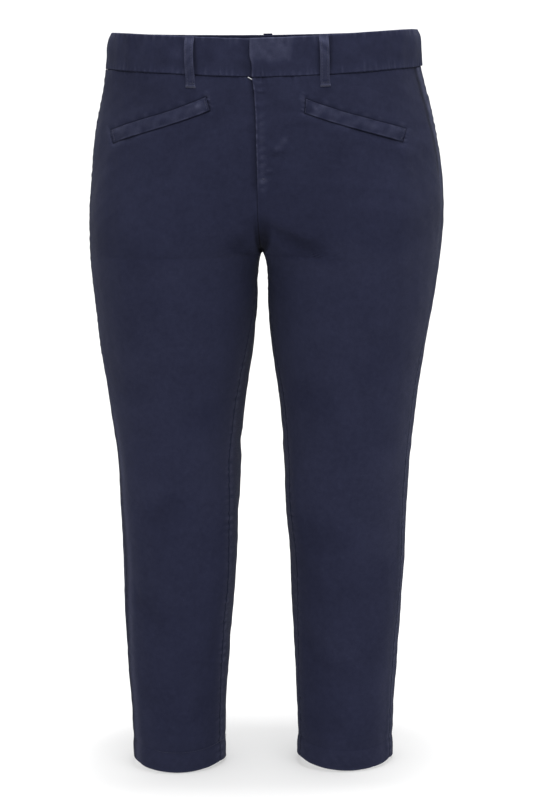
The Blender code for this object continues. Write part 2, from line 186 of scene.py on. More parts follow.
# Pocket welts: the v and s of the inner and the outer corner of the top edge, then of the foot, and
# how far the two edges sag. The reach bounds the search for a spot's place on its welt.
WELTS = {
    "left": ((0.0880, 0.262), (0.2585, 0.693), (0.1435, 0.253), (0.3128, 0.662)),
    "right": ((0.0785, 0.277), (0.2550, 0.734), (0.1300, 0.258), (0.3100, 0.698)),
}
WELT_SAG = {"left": (0.0030, 0.0), "right": (0.0050, 0.0025)}
WELT_CLEARS = 0.0003
WELT_THICKNESS = 0.0012
WELT_COLUMN = 0.0019
WELT_ROW = 0.0013
WELT_ROUNDS = 6
WELT_REACH = {"a": (-3, 4), "b": (-9, 10)}
LEAST_TURN = 1e-6
WELT_FROM = 0.01
WELT_TO = 0.7

# A belt loop's thickness, and how far it stands off the waist at each height
LOOP_THICKNESS = 0.0015
LOOP_ROWS = (
    (-0.0145, 0.0003),
    (-0.0070, 0.0003),
    (-0.0020, 0.0012),
    (0.0050, 0.0040),
    (0.0120, 0.0062),
    (0.0215, 0.0068),
    (0.0310, 0.0062),
    (0.0370, 0.0042),
    (0.0410, 0.0018),
    (0.0445, 0.0011),
)

# Belt loops: name, half, x at the foot and at the top, share of the front loops' height, and whether
# it is on the wearer's right
LOOPS = (
    ("belt_loop_front_left", "front", 0.0780, 0.0780, 1.0, False),
    ("belt_loop_front_right", "front", 0.0756, 0.0802, 1.0, True),
    ("belt_loop_back_left", "back", 0.1095, 0.1105, 0.90, False),
    ("belt_loop_back_right", "back", 0.1105, 0.1090, 0.90, True),
    ("belt_loop_centre_back", "back", -0.0010, -0.0032, 1.03, False),
)

# Sewing: the rows of stitching run this far in from a belt loop's edges. A tack is rows of short
# stitches, given as height, rows and how much wider than the loop, or by place along a welt and
# clearance. A stitch's rings are their place along it, how far out they lie and their thickness, the
# last two in radii of the thread.
LOOP_SEAM_IN = 0.0026
LOOP_TACKS = ((-0.0140, 5, 0.0016), (-0.0095, 2, -0.001))
WELT_TACKS = {"left": ((0.006, 0.0015), (0.980, 0.0008)), "right": ((0.020, 0.0015), (0.980, 0.0008))}
FLY_TACK = {"drop": 0.1165, "x": 0.006, "clears": 0.0019, "width": 0.008, "rows": 4}
TACK_PITCH = 0.00045
TACK_STITCH = (0.0016, 0.0001)
WELT_STITCH = (0.0014, 0.00025)
THREAD_CLEARS = 0.0014
THREAD_SIDES = 6
STITCH_RINGS = (
    (0.0, -1.0, 0.45),
    (0.12, 0.25, 0.95),
    (0.5, 0.75, 1.0),
    (0.88, 0.25, 0.95),
    (1.0, -1.0, 0.45),
)

# Zip: the width and the drops of its tape, and the teeth
TAPE_X = (-0.010, 0.016)
TAPE_DROPS = (0.003, 0.134)
TAPE_BEHIND = 0.0021
TAPE_THICKNESS = 0.0006
TEETH = 52
TOOTH_PITCH = 0.0023
TOOTH_X = (0.0008, 0.0052)
TOOTH_LENGTH = 0.0040
TEETH_BEHIND = 0.0031
FIRST_TOOTH = 0.008

# Zip slider: the middle of each plate in its own frame (across, up, out), its size and its turn in degrees
SLIDER_X = 0.0081
SLIDER_DROP = 0.0103
SLIDER_PLATES = (
    ((0.0, 0.0, -0.00105), (0.0080, 0.0116, 0.0005), 0),
    ((0.0, 0.0, 0.00045), (0.0074, 0.0110, 0.0005), 0),
    ((0.0, 0.0035, -0.0003), (0.0024, 0.0036, 0.0016), 0),
    ((-0.0060, 0.0032, 0.0006), (0.0075, 0.0022, 0.0004), -30),
    ((-0.0128, 0.0071, 0.0006), (0.0130, 0.0010, 0.0005), -30),
)

PLATE_ROUND = 0.35

# Folds placed on each panel: where each begins and where it ends, as its share of the way
# from the centre seam or inseam to the outseam and its height, then how far it sags between its
# ends, its width and its depth, which is negative for a trough.
FOLD_STEPS = 25
FOLDS = {
    "front_left": (
        (0.05, -0.1925, 0.60, -0.240, 0.0, 0.0060, -0.0040),
        (0.06, -0.1800, 0.38, -0.2120, 0.002, 0.0080, 0.0015),
        (0.12, -0.218, 0.44, -0.244, 0.002, 0.0070, 0.0007),
        (0.05, -0.245, 0.30, -0.290, 0.004, 0.0070, -0.0006),
        (0.08, -0.149, 0.17, -0.151, 0.001, 0.0030, -0.0004),
        (0.62, -0.120, 0.95, -0.098, -0.003, 0.0110, 0.0009),
        (0.95, -0.190, 0.60, -0.215, 0.004, 0.0150, -0.0010),
        (0.90, -0.330, 0.55, -0.375, 0.006, 0.0180, -0.0007),
        (0.04, -0.385, 0.45, -0.420, 0.005, 0.0160, -0.0005),
        (0.92, -0.470, 0.50, -0.500, 0.006, 0.0160, 0.0012),
        (0.05, -0.555, 0.52, -0.585, 0.007, 0.0150, -0.0009),
        (0.95, -0.600, 0.62, -0.632, 0.004, 0.0120, -0.0006),
        (0.03, -0.672, 0.66, -0.732, 0.006, 0.0140, 0.0014),
        (0.04, -0.700, 0.50, -0.752, 0.005, 0.0110, -0.0012),
        (0.96, -0.742, 0.55, -0.785, 0.004, 0.0120, 0.0009),
        (0.10, -0.800, 0.60, -0.828, 0.003, 0.0100, -0.0007),
    ),
    "front_right": (
        (0.03, -0.2035, 0.36, -0.2310, 0.001, 0.0080, -0.0025),
        (0.04, -0.188, 0.50, -0.204, 0.004, 0.0120, 0.0010),
        (0.08, -0.226, 0.34, -0.248, 0.003, 0.0080, 0.0006),
        (0.05, -0.250, 0.26, -0.292, 0.004, 0.0070, -0.0006),
        (0.70, -0.118, 0.96, -0.102, -0.002, 0.0120, 0.0008),
        (0.96, -0.205, 0.55, -0.232, 0.005, 0.0160, -0.0010),
        (0.90, -0.345, 0.50, -0.362, 0.006, 0.0170, 0.0010),
        (0.05, -0.400, 0.42, -0.445, 0.006, 0.0150, -0.0005),
        (0.34, -0.527, 0.68, -0.556, 0.005, 0.0150, -0.0013),
        (0.92, -0.500, 0.50, -0.520, 0.003, 0.0160, 0.0012),
        (0.80, -0.630, 0.50, -0.646, 0.004, 0.0130, -0.0008),
        (0.88, -0.606, 0.42, -0.662, 0.006, 0.0140, 0.0010),
        (0.90, -0.640, 0.50, -0.690, 0.006, 0.0120, -0.0011),
        (0.08, -0.690, 0.25, -0.772, 0.006, 0.0090, -0.0014),
        (0.16, -0.700, 0.34, -0.800, 0.005, 0.0090, 0.0012),
        (0.95, -0.760, 0.60, -0.795, 0.003, 0.0110, -0.0008),
    ),
    "back_left": (
        (0.02, -0.222, 0.62, -0.262, 0.010, 0.0100, -0.0042),
        (0.03, -0.204, 0.70, -0.236, 0.010, 0.0140, 0.0022),
        (0.04, -0.262, 0.48, -0.300, 0.008, 0.0090, -0.0030),
        (0.05, -0.245, 0.50, -0.283, 0.009, 0.0100, 0.0020),
        (0.06, -0.310, 0.36, -0.350, 0.006, 0.0090, -0.0018),
        (0.95, -0.262, 0.55, -0.292, 0.005, 0.0140, -0.0016),
        (0.30, -0.060, 0.34, -0.125, 0.001, 0.0060, -0.0007),
        (0.04, -0.452, 0.62, -0.478, 0.008, 0.0110, -0.0024),
        (0.10, -0.474, 0.78, -0.498, -0.006, 0.0110, 0.0018),
        (0.95, -0.486, 0.40, -0.516, 0.006, 0.0100, -0.0020),
        (0.06, -0.536, 0.55, -0.560, 0.005, 0.0110, -0.0015),
        (0.92, -0.566, 0.45, -0.600, 0.004, 0.0120, 0.0012),
        (0.05, -0.690, 0.50, -0.742, 0.005, 0.0120, -0.0012),
        (0.93, -0.720, 0.50, -0.768, 0.004, 0.0110, -0.0009),
        (0.20, -0.790, 0.70, -0.820, 0.003, 0.0100, 0.0008),
    ),
    "back_right": (
        (0.02, -0.224, 0.58, -0.256, 0.009, 0.0105, -0.0040),
        (0.03, -0.206, 0.66, -0.230, 0.009, 0.0140, 0.0020),
        (0.04, -0.258, 0.52, -0.306, 0.009, 0.0095, -0.0030),
        (0.06, -0.318, 0.34, -0.366, 0.006, 0.0090, -0.0018),
        (0.94, -0.250, 0.60, -0.284, 0.006, 0.0140, -0.0014),
        (0.30, -0.060, 0.34, -0.125, 0.001, 0.0060, -0.0007),
        (0.05, -0.462, 0.55, -0.470, 0.009, 0.0110, -0.0024),
        (0.92, -0.470, 0.34, -0.506, 0.007, 0.0110, -0.0020),
        (0.10, -0.488, 0.70, -0.520, -0.005, 0.0120, 0.0017),
        (0.06, -0.548, 0.60, -0.582, 0.006, 0.0110, -0.0014),
        (0.94, -0.590, 0.50, -0.618, 0.004, 0.0120, 0.0012),
        (0.06, -0.700, 0.46, -0.760, 0.006, 0.0110, -0.0013),
        (0.92, -0.742, 0.56, -0.782, 0.004, 0.0110, -0.0009),
    ),
}

# How far each leg's outline swells past the common form: heights, then outwards at the outer and the
# inner side of the wearer's left leg, and of the right one
SWELL_ROWS = (
    (-0.015, -0.0004, 0, 0.0003, 0),
    (-0.040, 0.0006, 0, 0.0009, 0),
    (-0.060, 0.0007, 0, 0.0020, 0),
    (-0.085, 0.0007, 0, 0.0024, 0),
    (-0.120, 0.0009, 0, 0.0004, 0),
    (-0.180, 0.0016, 0, 0.0003, 0),
    (-0.240, 0.0004, 0, 0.0012, 0),
    (-0.290, -0.0003, 0.0006, 0.0021, -0.0008),
    (-0.335, -0.0012, 0.0009, 0.0027, -0.0008),
    (-0.375, -0.0013, 0.0010, 0.0020, -0.0010),
    (-0.415, -0.0004, 0.0018, 0.0025, -0.0010),
    (-0.455, 0.0013, 0.0027, 0.0018, -0.0006),
    (-0.500, 0.0016, 0.0030, 0.0018, -0.0012),
    (-0.530, 0.0015, 0.0036, 0.0012, -0.0002),
    (-0.560, 0.0018, 0.0016, 0.0006, 0.0007),
    (-0.595, 0.0025, -0.0006, -0.0004, 0.0015),
    (-0.640, 0.0016, -0.0012, -0.0006, 0.0015),
    (-0.690, 0.0008, 0.0003, 0.0014, 0.0005),
    (-0.740, 0.0004, 0.0007, 0.0020, 0.0002),
    (-0.800, 0.0012, 0.0006, 0.0020, 0),
    (-0.875, 0.0012, 0.0007, 0.0002, 0),
)

# Painted highlight beside each panel's outseam and its inseam: how much paler the cloth is there
SEAM_SHINE = {
    "front_left": (0.08, 0.05),
    "back_left": (0.42, 0.10),
    "front_right": (0.26, 0.14),
    "back_right": (0.26, 0.34),
}

# Painted light and shade at each height: how much paler the cloth is, negative where it is darker
PAINTED_LIGHT_ROWS = (
    (-0.875, 0.070),
    (-0.850, 0.050),
    (-0.825, 0.000),
    (-0.600, 0.010),
    (-0.520, 0.030),
    (-0.330, 0.035),
    (-0.276, 0.020),
    (-0.252, 0.045),
    (-0.232, 0.065),
    (-0.212, 0.010),
    (-0.190, -0.030),
    (-0.120, -0.020),
    (-0.088, -0.030),
    (-0.066, -0.100),
    (-0.045, -0.140),
    (-0.028, -0.120),
    (-0.020, -0.060),
)

# The wearer's left outseam lies a little to the front below the waist: the line of its pressed
# edge as height and distance from the side
SEAM_LINE = (
    (-0.150, 0.0195),
    (-0.127, 0.0215),
    (-0.104, 0.0275),
    (-0.088, 0.0303),
    (-0.066, 0.0298),
    (-0.038, 0.0262),
)

# Painted highlight and painted shadow lines down the side of each front: distance from the outseam, width,
# how much paler (negative for darker), the depth that it starts at and the length over which it grows
SIDE_LINES = {
    "left": ((0.0085, 0.0040, -0.16, 0.50, 0.10), (0.0, 0.025, 0.16, 0.70, 0.06)),
    "right": ((0.0135, 0.0075, 0.34, 0.40, 0.06), (0.0, 0.0062, -0.75, 0.40, 0.06)),
}

# Unevenness of the panels: height, wavelength and seed
UNEVEN = ((0.00055, 0.085, 3), (0.00020, 0.030, 5), (0.00007, 0.012, 6))

# Puckers along a seam: height, reach to its side, length of a wave, seed, and how much paler their
# crests are for each metre of height
PUCKERS = {
    "inseam": (0.00034, 0.0070, 0.0085, 11, 350),
    "outseam": (0.00026, 0.0060, 0.0125, 13, 0),
    "waist": (0.00012, 0.0080, 0.0065, 19, 700),
    "hem": (0.00013, 0.0100, 0.0105, 29, 250),
}
HEM_ROPE_AT = 0.013
HEM_ROPE_SLANT = 0.8

# The hem's line of sewing, as lines above it: distance, width and height
HEM_GROOVES = ((0.0, 0.0009, -0.00014), (0.0015, 0.0070, -0.0011))

# Painted highlight on a fold's crest and painted shade in its trough: how much paler and how much darker the
# cloth is for each metre of the fold's height
CREST_HIGHLIGHT = 30
TROUGH_SHADE = 110

# Painted light on the inner thighs: how much paler they are
INNER_THIGH_LIGHT = {"left": 0.10, "right": 0.13}

# The dark shade of the crotch on each front: how far it reaches from the seam and fades over
CROTCH_SHADE = {"left": (0.0118, 0.0045), "right": (0.0036, 0.0018)}

# The twill's diagonal lines, as turns across and along the cloth, and the plating of the metal
WALE_WAY = (0.89, 0.45)
DULL_NICKEL = (0.36, 0.36, 0.37)
BRIGHT_NICKEL = (0.56, 0.56, 0.57)

# Stage: the floor follows the line of the two hems and sweeps up to a wall. A light is its name, its
# place, the spot it faces, its size and its power.
FLOOR_TILT = 0.0410
FLOOR_RISE = 0.0034
FLOOR_REACH = 6.0
FLOOR_BACK = 2.2
SWEEP = 1.6
WALL_TOP = 5.0
PAPER = 0.53
PAPER_GLOW = 0.31
ROOM_LIGHT = 0.80
LIGHTS = (
    ("key", (0.8, -2.2, 2.2), (0, 0, -0.5), (2.4, 2.4), 36),
    ("top", (0.15, -0.5, 2.8), (0.1, 0, -0.9), (3.0, 3.0), 74),
    ("overhead", (0, 0, 2.8), (0, 0, -0.9), (0.5, 0.5), 62),
    ("backdrop", (0, 1.6, 2.4), (0, 3.8, 0.2), (4.0, 1.5), 40),
)
CAMERA_LENS = 100
CAMERA_TURN = math.radians(4)
CAMERA_FAR = 2.70
CAMERA_HEIGHT = -0.026
CAMERA_FACES = (0.0035, 0, -0.4185)
CAMERA_ROLL = math.radians(0.35)

# Grid of a sheet: steps in from each edge, then even ones
EDGE_STEPS = (0, 0.0003, 0.0007, 0.0012, 0.0019, 0.0029, 0.0043)
CROTCH_STEPS = (-0.0020, 0, 0.0003, 0.0008, 0.0015, 0.0026, 0.0042)
HEM_STEPS = (0.0042, 0.0023, 0.0012, 0.0006, 0, -0.0006, -0.0012, -0.0023, -0.0042)
HEM_EVEN = 0.0065
EDGE_ENDS = 0.0062
EVEN_STEP = 0.0025
EVEN_COLUMNS = 76
DENSE = 161
NUDGE = 1e-4
EDGE_ROUND = 0.0008
SHARP_ANGLE = math.radians(50)

# Waves that a ripple and a swell add up, and the spread of their lengths
RIPPLE_WAVES = 6
RIPPLE_SPREAD = (0.55, 1.5)
SWELL_WAVES = 7
SWELL_SPREAD = (0.7, 1.6)


def setting(name):
    """A size or a colour from the sidebar's settings."""
    return getattr(bpy.context.scene.trousers, name)


def grows(at, start, over):
    """0 up to the start, then softly up to 1 over that distance."""
    t = np.clip((at - start) / over, 0, 1)
    return t * t * (3 - 2 * t)


def ends(at, start, over):
    """1 up to the start, then softly down to 0 over that distance."""
    return 1 - grows(at, start, over)


def bump(distance, width):
    """1 at no distance, fading softly past the width."""
    return np.exp(-((distance / width) ** 2))


def lines(at, rows):
    """Soft lines side by side: each row holds a line's place, its width and its height."""
    return sum(height * bump(at - place, width) for place, width, height in rows)


def unit(vectors):
    """The same directions, each one long."""
    return vectors / np.maximum(np.linalg.norm(vectors, axis=-1, keepdims=True), 1e-12)


def run_along(path):
    """Distance along a row of points from its first one."""
    return np.concatenate([[0], np.cumsum(np.linalg.norm(np.diff(path, axis=0), axis=1))])


def sided(points, mirror):
    """The points on the side where they are worn."""
    return points * np.array([-1 if mirror else 1, 1, 1])


def spline(knots, values, at):
    """Natural cubic spline through the knots."""
    x = np.asarray(knots, float)
    y = np.asarray(values, float)
    step = np.diff(x)
    slope_at = np.diff(y) / step
    count = len(x)
    matrix = np.eye(count)
    right = np.zeros(count)
    for i in range(1, count - 1):
        matrix[i, i - 1 : i + 2] = step[i - 1], 2 * (step[i - 1] + step[i]), step[i]
        right[i] = 6 * (slope_at[i] - slope_at[i - 1])
    bend = np.linalg.solve(matrix, right)
    at = np.clip(np.asarray(at, float), x[0], x[-1])
    i = np.clip(np.searchsorted(x, at, side="right") - 1, 0, count - 2)
    near = at - x[i]
    far = x[i + 1] - at
    curve = (bend[i] * far**3 + bend[i + 1] * near**3) / (6 * step[i])
    line = (y[i] / step[i] - bend[i] * step[i] / 6) * far
    return curve + line + (y[i + 1] / step[i] - bend[i + 1] * step[i] / 6) * near


def section(z):
    """The section columns at the heights z."""
    table = np.array(SECTION_ROWS)[::-1]
    found = {name: spline(table[:, 0], table[:, i], z) for i, name in enumerate(SECTION_COLUMNS)}
    below = np.clip(CROTCH - np.asarray(z, float), 0, None)
    found["inner"] = found["inner"] * (1 - np.exp(-below / CROTCH_OPENS_OVER))
    return found


def centre_seam(half, v):
    """How far round the leg's oval the centre seam lies at v, and its height."""
    v = np.minimum(v, 1)
    height = CROTCH + (WAIST_SEAM[half] - CROTCH) * (1 - v) ** SEAM_BOW[half]
    return math.pi / 2 * (1 - v**SEAM_TUCK), height


def oval(half, z, turn, at=None):
    """Points (x, y) of a leg's section, where turn is 0 at its innermost point and pi at its outermost."""
    at = at or section(z)
    other = {"front": "back", "back": "front"}[half]
    x = (at["outer"] + at["inner"]) / 2 - (at["outer"] - at["inner"]) / 2 * np.cos(turn)
    middle = at["inside"] + (at["side"] - at["inside"]) * (1 - np.cos(turn)) / 2
    toward = np.where(np.sin(turn) >= 0, at[half], at[other])
    return x, middle + (toward - middle) * np.abs(np.sin(turn))


def row(half, z, z_in, start, s, ease, on_trunk=1.0):
    """Points of rows that start that far round the oval and are drawn over to the centre plane."""
    at = section(z)
    end = math.pi - np.radians(at["outseam"]) * SIGN[half]
    eased = (1 - ease) * s + ease * s * np.abs(s) * (2 - s)
    x, y = oval(half, z, start + (end - start) * eased, at)
    x = x - on_trunk * oval(half, z_in, start)[0] * (1 - np.sin(s * math.pi / 2))
    return np.stack(np.broadcast_arrays(x, y, z), -1)


def slope(at_centre, at_side, s):
    """A height that runs softly from the centre seam's to the outseam's."""
    return at_side + (at_centre - at_side) * (1 + np.cos(math.pi * s)) / 2


def surface(half, v, s):
    """The worn form on the +X side: v is 0 at the waist seam, 1 at the crotch and 2 at the hem."""
    v, s = np.broadcast_arrays(np.asarray(v, float), np.asarray(s, float))
    start, z_in = centre_seam(half, v)
    z_out = CROTCH + (WAIST_SEAM["side"] - CROTCH) * (1 - np.minimum(v, 1)) ** SIDE_BOW
    on_leg = np.maximum(v - 1, 0)
    below = on_leg * LEG
    z = slope(z_in, z_out, s) - below
    start = np.where(v > 1, np.radians(section(z)["inseam"]) * SIGN[half], start)
    points = row(half, z, z_in, start, s, ends(on_leg, 0, EASE_ENDS), v <= 1)
    high, dip = HEM_SWING[half]
    swing = high + dip * np.sin(math.pi * s)
    points[..., 2] += swing * grows(v, HEM_SWING_FROM, 2 - HEM_SWING_FROM)
    wide, rise, fall, reach = CROTCH_ARCH
    arch = wide * np.exp(-below / fall) * (1 - np.exp(-below / rise))
    points[..., 0] += arch * bump(s, reach)
    return points


def waist(half, s, rise):
    """Points that far above the waist seam, or below it, on the panels' own form."""
    s, rise = np.broadcast_arrays(np.asarray(s, float), np.asarray(rise, float))
    z_in = WAIST_SEAM[half] + np.mean(rise, axis=-1, keepdims=True)
    z = slope(WAIST_SEAM[half], WAIST_SEAM["side"], s) + rise
    return row(half, z, z_in, math.pi / 2, s, 1)


def surface_normals(half, v, s):
    """The way out of the worn form."""
    v = np.clip(v, NUDGE, 2 - NUDGE)
    across = surface(half, v, s + NUDGE) - surface(half, v, s - NUDGE)
    down = surface(half, v + NUDGE, s) - surface(half, v - NUDGE, s)
    return unit(np.cross(down, across)) * SIGN[half]


def waist_normals(half, s, rise):
    """The way out of the form at the waistband."""
    across = waist(half, s + NUDGE, rise) - waist(half, s - NUDGE, rise)
    up = waist(half, s, rise + NUDGE) - waist(half, s, rise - NUDGE)
    return unit(np.cross(across, up)) * SIGN[half]


def drop_at(v):
    """Drop below the waist seam at the centre front."""
    return WAIST_SEAM["front"] - centre_seam("front", v)[1]


def row_at(drop):
    """The v whose row has this drop at the centre front."""
    return 1 - (1 - drop / (WAIST_SEAM["front"] - CROTCH)) ** (1 / SEAM_BOW["front"])


def fly(v, column):
    """A column of the fly's rows, at this row of the panel."""
    table = np.array(FLY_ROWS)
    return np.interp(drop_at(v), table[:, 0], table[:, FLY_COLUMNS.index(column)])


def s_of(half, x, v=0.0):
    """The s at which a row reaches this x."""
    s = np.linspace(-0.3, 0.9, DENSE)
    return np.interp(x, surface(half, v, s)[..., 0], s)


def roll(distance, radius):
    """How far a rounded edge has dropped this close to it."""
    t = 1 - np.clip(distance / radius, 0, 1)
    return -radius * (1 - np.sqrt(np.clip(1 - t * t, 0, 1)))


def ripple(at, seed):
    """An uneven wave of about unit wavelength and height."""
    rng = np.random.default_rng(seed)
    total = 0 * at
    for _ in range(RIPPLE_WAVES):
        total = total + np.sin(2 * math.pi * (at * rng.uniform(*RIPPLE_SPREAD) + rng.uniform()))
    return total / math.sqrt(RIPPLE_WAVES / 2)


def swell(points, wavelength, seed):
    """A soft unevenness in space, about 1 high."""
    rng = np.random.default_rng(seed)
    total = 0 * points[..., 0]
    for _ in range(SWELL_WAVES):
        way = unit(rng.normal(size=3)) / (wavelength * rng.uniform(*SWELL_SPREAD))
        total = total + np.sin(2 * math.pi * (points @ way + rng.uniform()))
    return total / math.sqrt(SWELL_WAVES / 2)


def leaned(points, mirror):
    """Points of the +X side mirrored for the wearer's right, or dipped along the wearer's left of the
    waist seam, then swayed at the waist and leaned."""
    points = np.array(points, float)
    if mirror:
        points[..., 0] *= -1
    else:
        dip, more, height, reach = SEAM_DIP
        dip = dip + more * grows(points[..., 0], *SEAM_DIP_GROWS)
        points[..., 2] -= dip * bump(points[..., 2] - height, reach) * grows(-points[..., 1], 0, FRONT_DEPTH)
    at_hem = grows(HEM_LEAN_FROM - points[..., 2], 0, HEM_LEAN_OVER)
    points[..., 0] += SWAY * grows(points[..., 2], SWAY_FROM, SWAY_OVER)
    middle = -LEG_MIDDLE if mirror else LEG_MIDDLE
    points[..., 2] += (HEM_RISES[mirror] + HEM_TILT * (points[..., 0] - middle)) * at_hem
    points[..., 2] += LEAN * points[..., 0]
    return points


def edge_spaced(start, end, step=EVEN_STEP):
    """Positions from start to end, close together at both edges."""
    edge = np.array(EDGE_STEPS)
    count = max(2, round((end - start - 2 * EDGE_ENDS) / step))
    even = np.linspace(start + EDGE_ENDS, end - EDGE_ENDS, count)
    return np.concatenate([start + edge, even, end - edge[::-1]])


def mesh_of(name, points, faces, made_of, fade=None, cloth=None):
    """An object from arrays of points and of four-sided faces, with its wear and painted light and shade, and
    its cloth coordinates.
    """
    points = np.asarray(points, float).reshape(-1, 3)
    faces = np.asarray(faces)
    a, b, c, d = (points[faces[:, i]] for i in range(4))
    volume = np.einsum("ij,ij->i", a, np.cross(b, c) + np.cross(c, d)).sum()
    if volume < 0:
        faces = faces[:, ::-1]
    mesh = bpy.data.meshes.new(name)
    mesh.from_pydata(points.tolist(), [], faces.tolist())
    mesh.shade_smooth()
    mesh.set_sharp_from_angle(angle=SHARP_ANGLE)
    mesh.materials.append(made_of)
    # The point attribute holds real wear and seam lines together with painted highlights and painted shade
    if fade is not None:
        values = mesh.attributes.new("fade", "FLOAT", "POINT").data
        values.foreach_set("value", np.ravel(fade).astype(np.float32))
    thing = bpy.data.objects.new(name, mesh)
    bpy.context.scene.collection.objects.link(thing)
    if cloth is not None:
        add_map(thing, "cloth", cloth)
    return thing


def add_map(thing, name, places):
    """A set of coordinates over the mesh, one pair for each point."""
    mesh = thing.data
    corner = np.empty(len(mesh.loops), np.int32)
    mesh.loops.foreach_get("vertex_index", corner)
    layer = mesh.uv_layers.new(name=name)
    layer.data.foreach_set("uv", np.asarray(places, np.float32).reshape(-1, 2)[corner].ravel())


def sheet_of(name, outer, inner, made_of, mirror, fade, cloth):
    """A closed sheet between two grids of points with the same rows and columns."""
    rows, columns = outer.shape[:2]
    number = np.arange(rows * columns).reshape(rows, columns)
    front = np.stack([number[:-1, :-1], number[1:, :-1], number[1:, 1:], number[:-1, 1:]], -1).reshape(-1, 4)
    rim = np.concatenate([number[0, :], number[1:, -1], number[-1, -2::-1], number[-2:0:-1, 0]])
    after = np.roll(rim, -1)
    side = np.stack([rim, after, after + rows * columns, rim + rows * columns], -1)
    faces = np.concatenate([front, front[:, ::-1] + rows * columns, side])
    points = leaned(np.concatenate([outer.reshape(-1, 3), inner.reshape(-1, 3)]), mirror)
    fade = np.ravel(fade)
    uv = np.concatenate([cloth.reshape(-1, 2)] * 2)
    return mesh_of(name, points, faces, made_of, np.concatenate([fade, 0 * fade]), uv)


def put(thing, *nodes, slot="twill"):
    """The piece rides on the garment and stands for these solids."""
    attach(thing, BODY)
    if nodes:
        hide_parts(*nodes)
    return thing


class Value:
    """A shader socket: arithmetic on it adds the Math nodes."""

    def __init__(self, shader, socket):
        self.shader = shader
        self.socket = socket

    def math(self, operation, *others, clamp=False):
        values = dict(enumerate((self, *others)))
        return self.shader.node("ShaderNodeMath", {"operation": operation, "use_clamp": clamp}, values)

    def __add__(self, other):
        return self.math("ADD", other)

    def __radd__(self, other):
        return self.math("ADD", other)

    def __sub__(self, other):
        return self.math("SUBTRACT", other)

    def __rsub__(self, other):
        return (self * -1).math("ADD", other)

    def __gt__(self, other):
        return self.math("GREATER_THAN", other)

    def __mul__(self, other):
        return self.math("MULTIPLY", other)

    def __rmul__(self, other):
        return self.math("MULTIPLY", other)

    def __pow__(self, other):
        return self.math("POWER", other)

    def sine(self):
        return self.math("SINE")

    def clamped(self):
        return self.math("ADD", 0.0, clamp=True)


class Shader:
    """A material's node tree, built from calls."""

    def __init__(self, name):
        self.material = bpy.data.materials.new(name)
        self.material.use_nodes = True
        self.tree = self.material.node_tree
        self.principled = self.tree.nodes["Principled BSDF"]

    def node(self, kind, settings=None, values=None, output=0):
        """Adds a node: its settings first, then the values or links of its sockets. Returns one output."""
        made = self.tree.nodes.new(kind)
        for key, value in (settings or {}).items():
            setattr(made, key, value)
        self.fill(made, values or {})
        return Value(self, made.outputs[output])

    def fill(self, made, values):
        """Sets the sockets of a node, or links them."""
        for key, value in values.items():
            if isinstance(value, Value):
                self.tree.links.new(value.socket, made.inputs[key])
            else:
                made.inputs[key].default_value = value

    def parts(self, vector):
        """The first two parts of a vector."""
        made = self.tree.nodes.new("ShaderNodeSeparateXYZ")
        self.fill(made, {0: vector})
        return Value(self, made.outputs[0]), Value(self, made.outputs[1])

    def mix(self, share, first, second):
        """Two colours mixed."""
        settings = {"data_type": "RGBA", "blend_type": "MIX"}
        return self.node("ShaderNodeMix", settings, {0: share, 6: first, 7: second}, 2)

    def place(self):
        """Where a spot lies on its object."""
        return self.node("ShaderNodeTexCoord", output="Object")

    def noise(self, vector, scale, detail=2.0, roughness=0.5):
        """Soft noise over this place."""
        values = {"Vector": vector, "Scale": scale, "Detail": detail, "Roughness": roughness}
        return self.node("ShaderNodeTexNoise", {}, values)

    def waves(self, scale, distortion):
        """Even waves over the object."""
        values = {"Vector": self.place(), "Scale": scale, "Distortion": distortion}
        return self.node("ShaderNodeTexWave", {}, values)

    def relief(self, height, strength, distance):
        """A normal that follows this height."""
        return self.node("ShaderNodeBump", {}, {"Height": height, "Strength": strength, "Distance": distance})

    def surface(self, **values):
        """Sets or links the sockets of the shader."""
        self.fill(self.principled, {key.replace("_", " "): value for key, value in values.items()})


def rgba(name):
    """A colour from the settings, opaque."""
    return (*setting(name), 1.0)


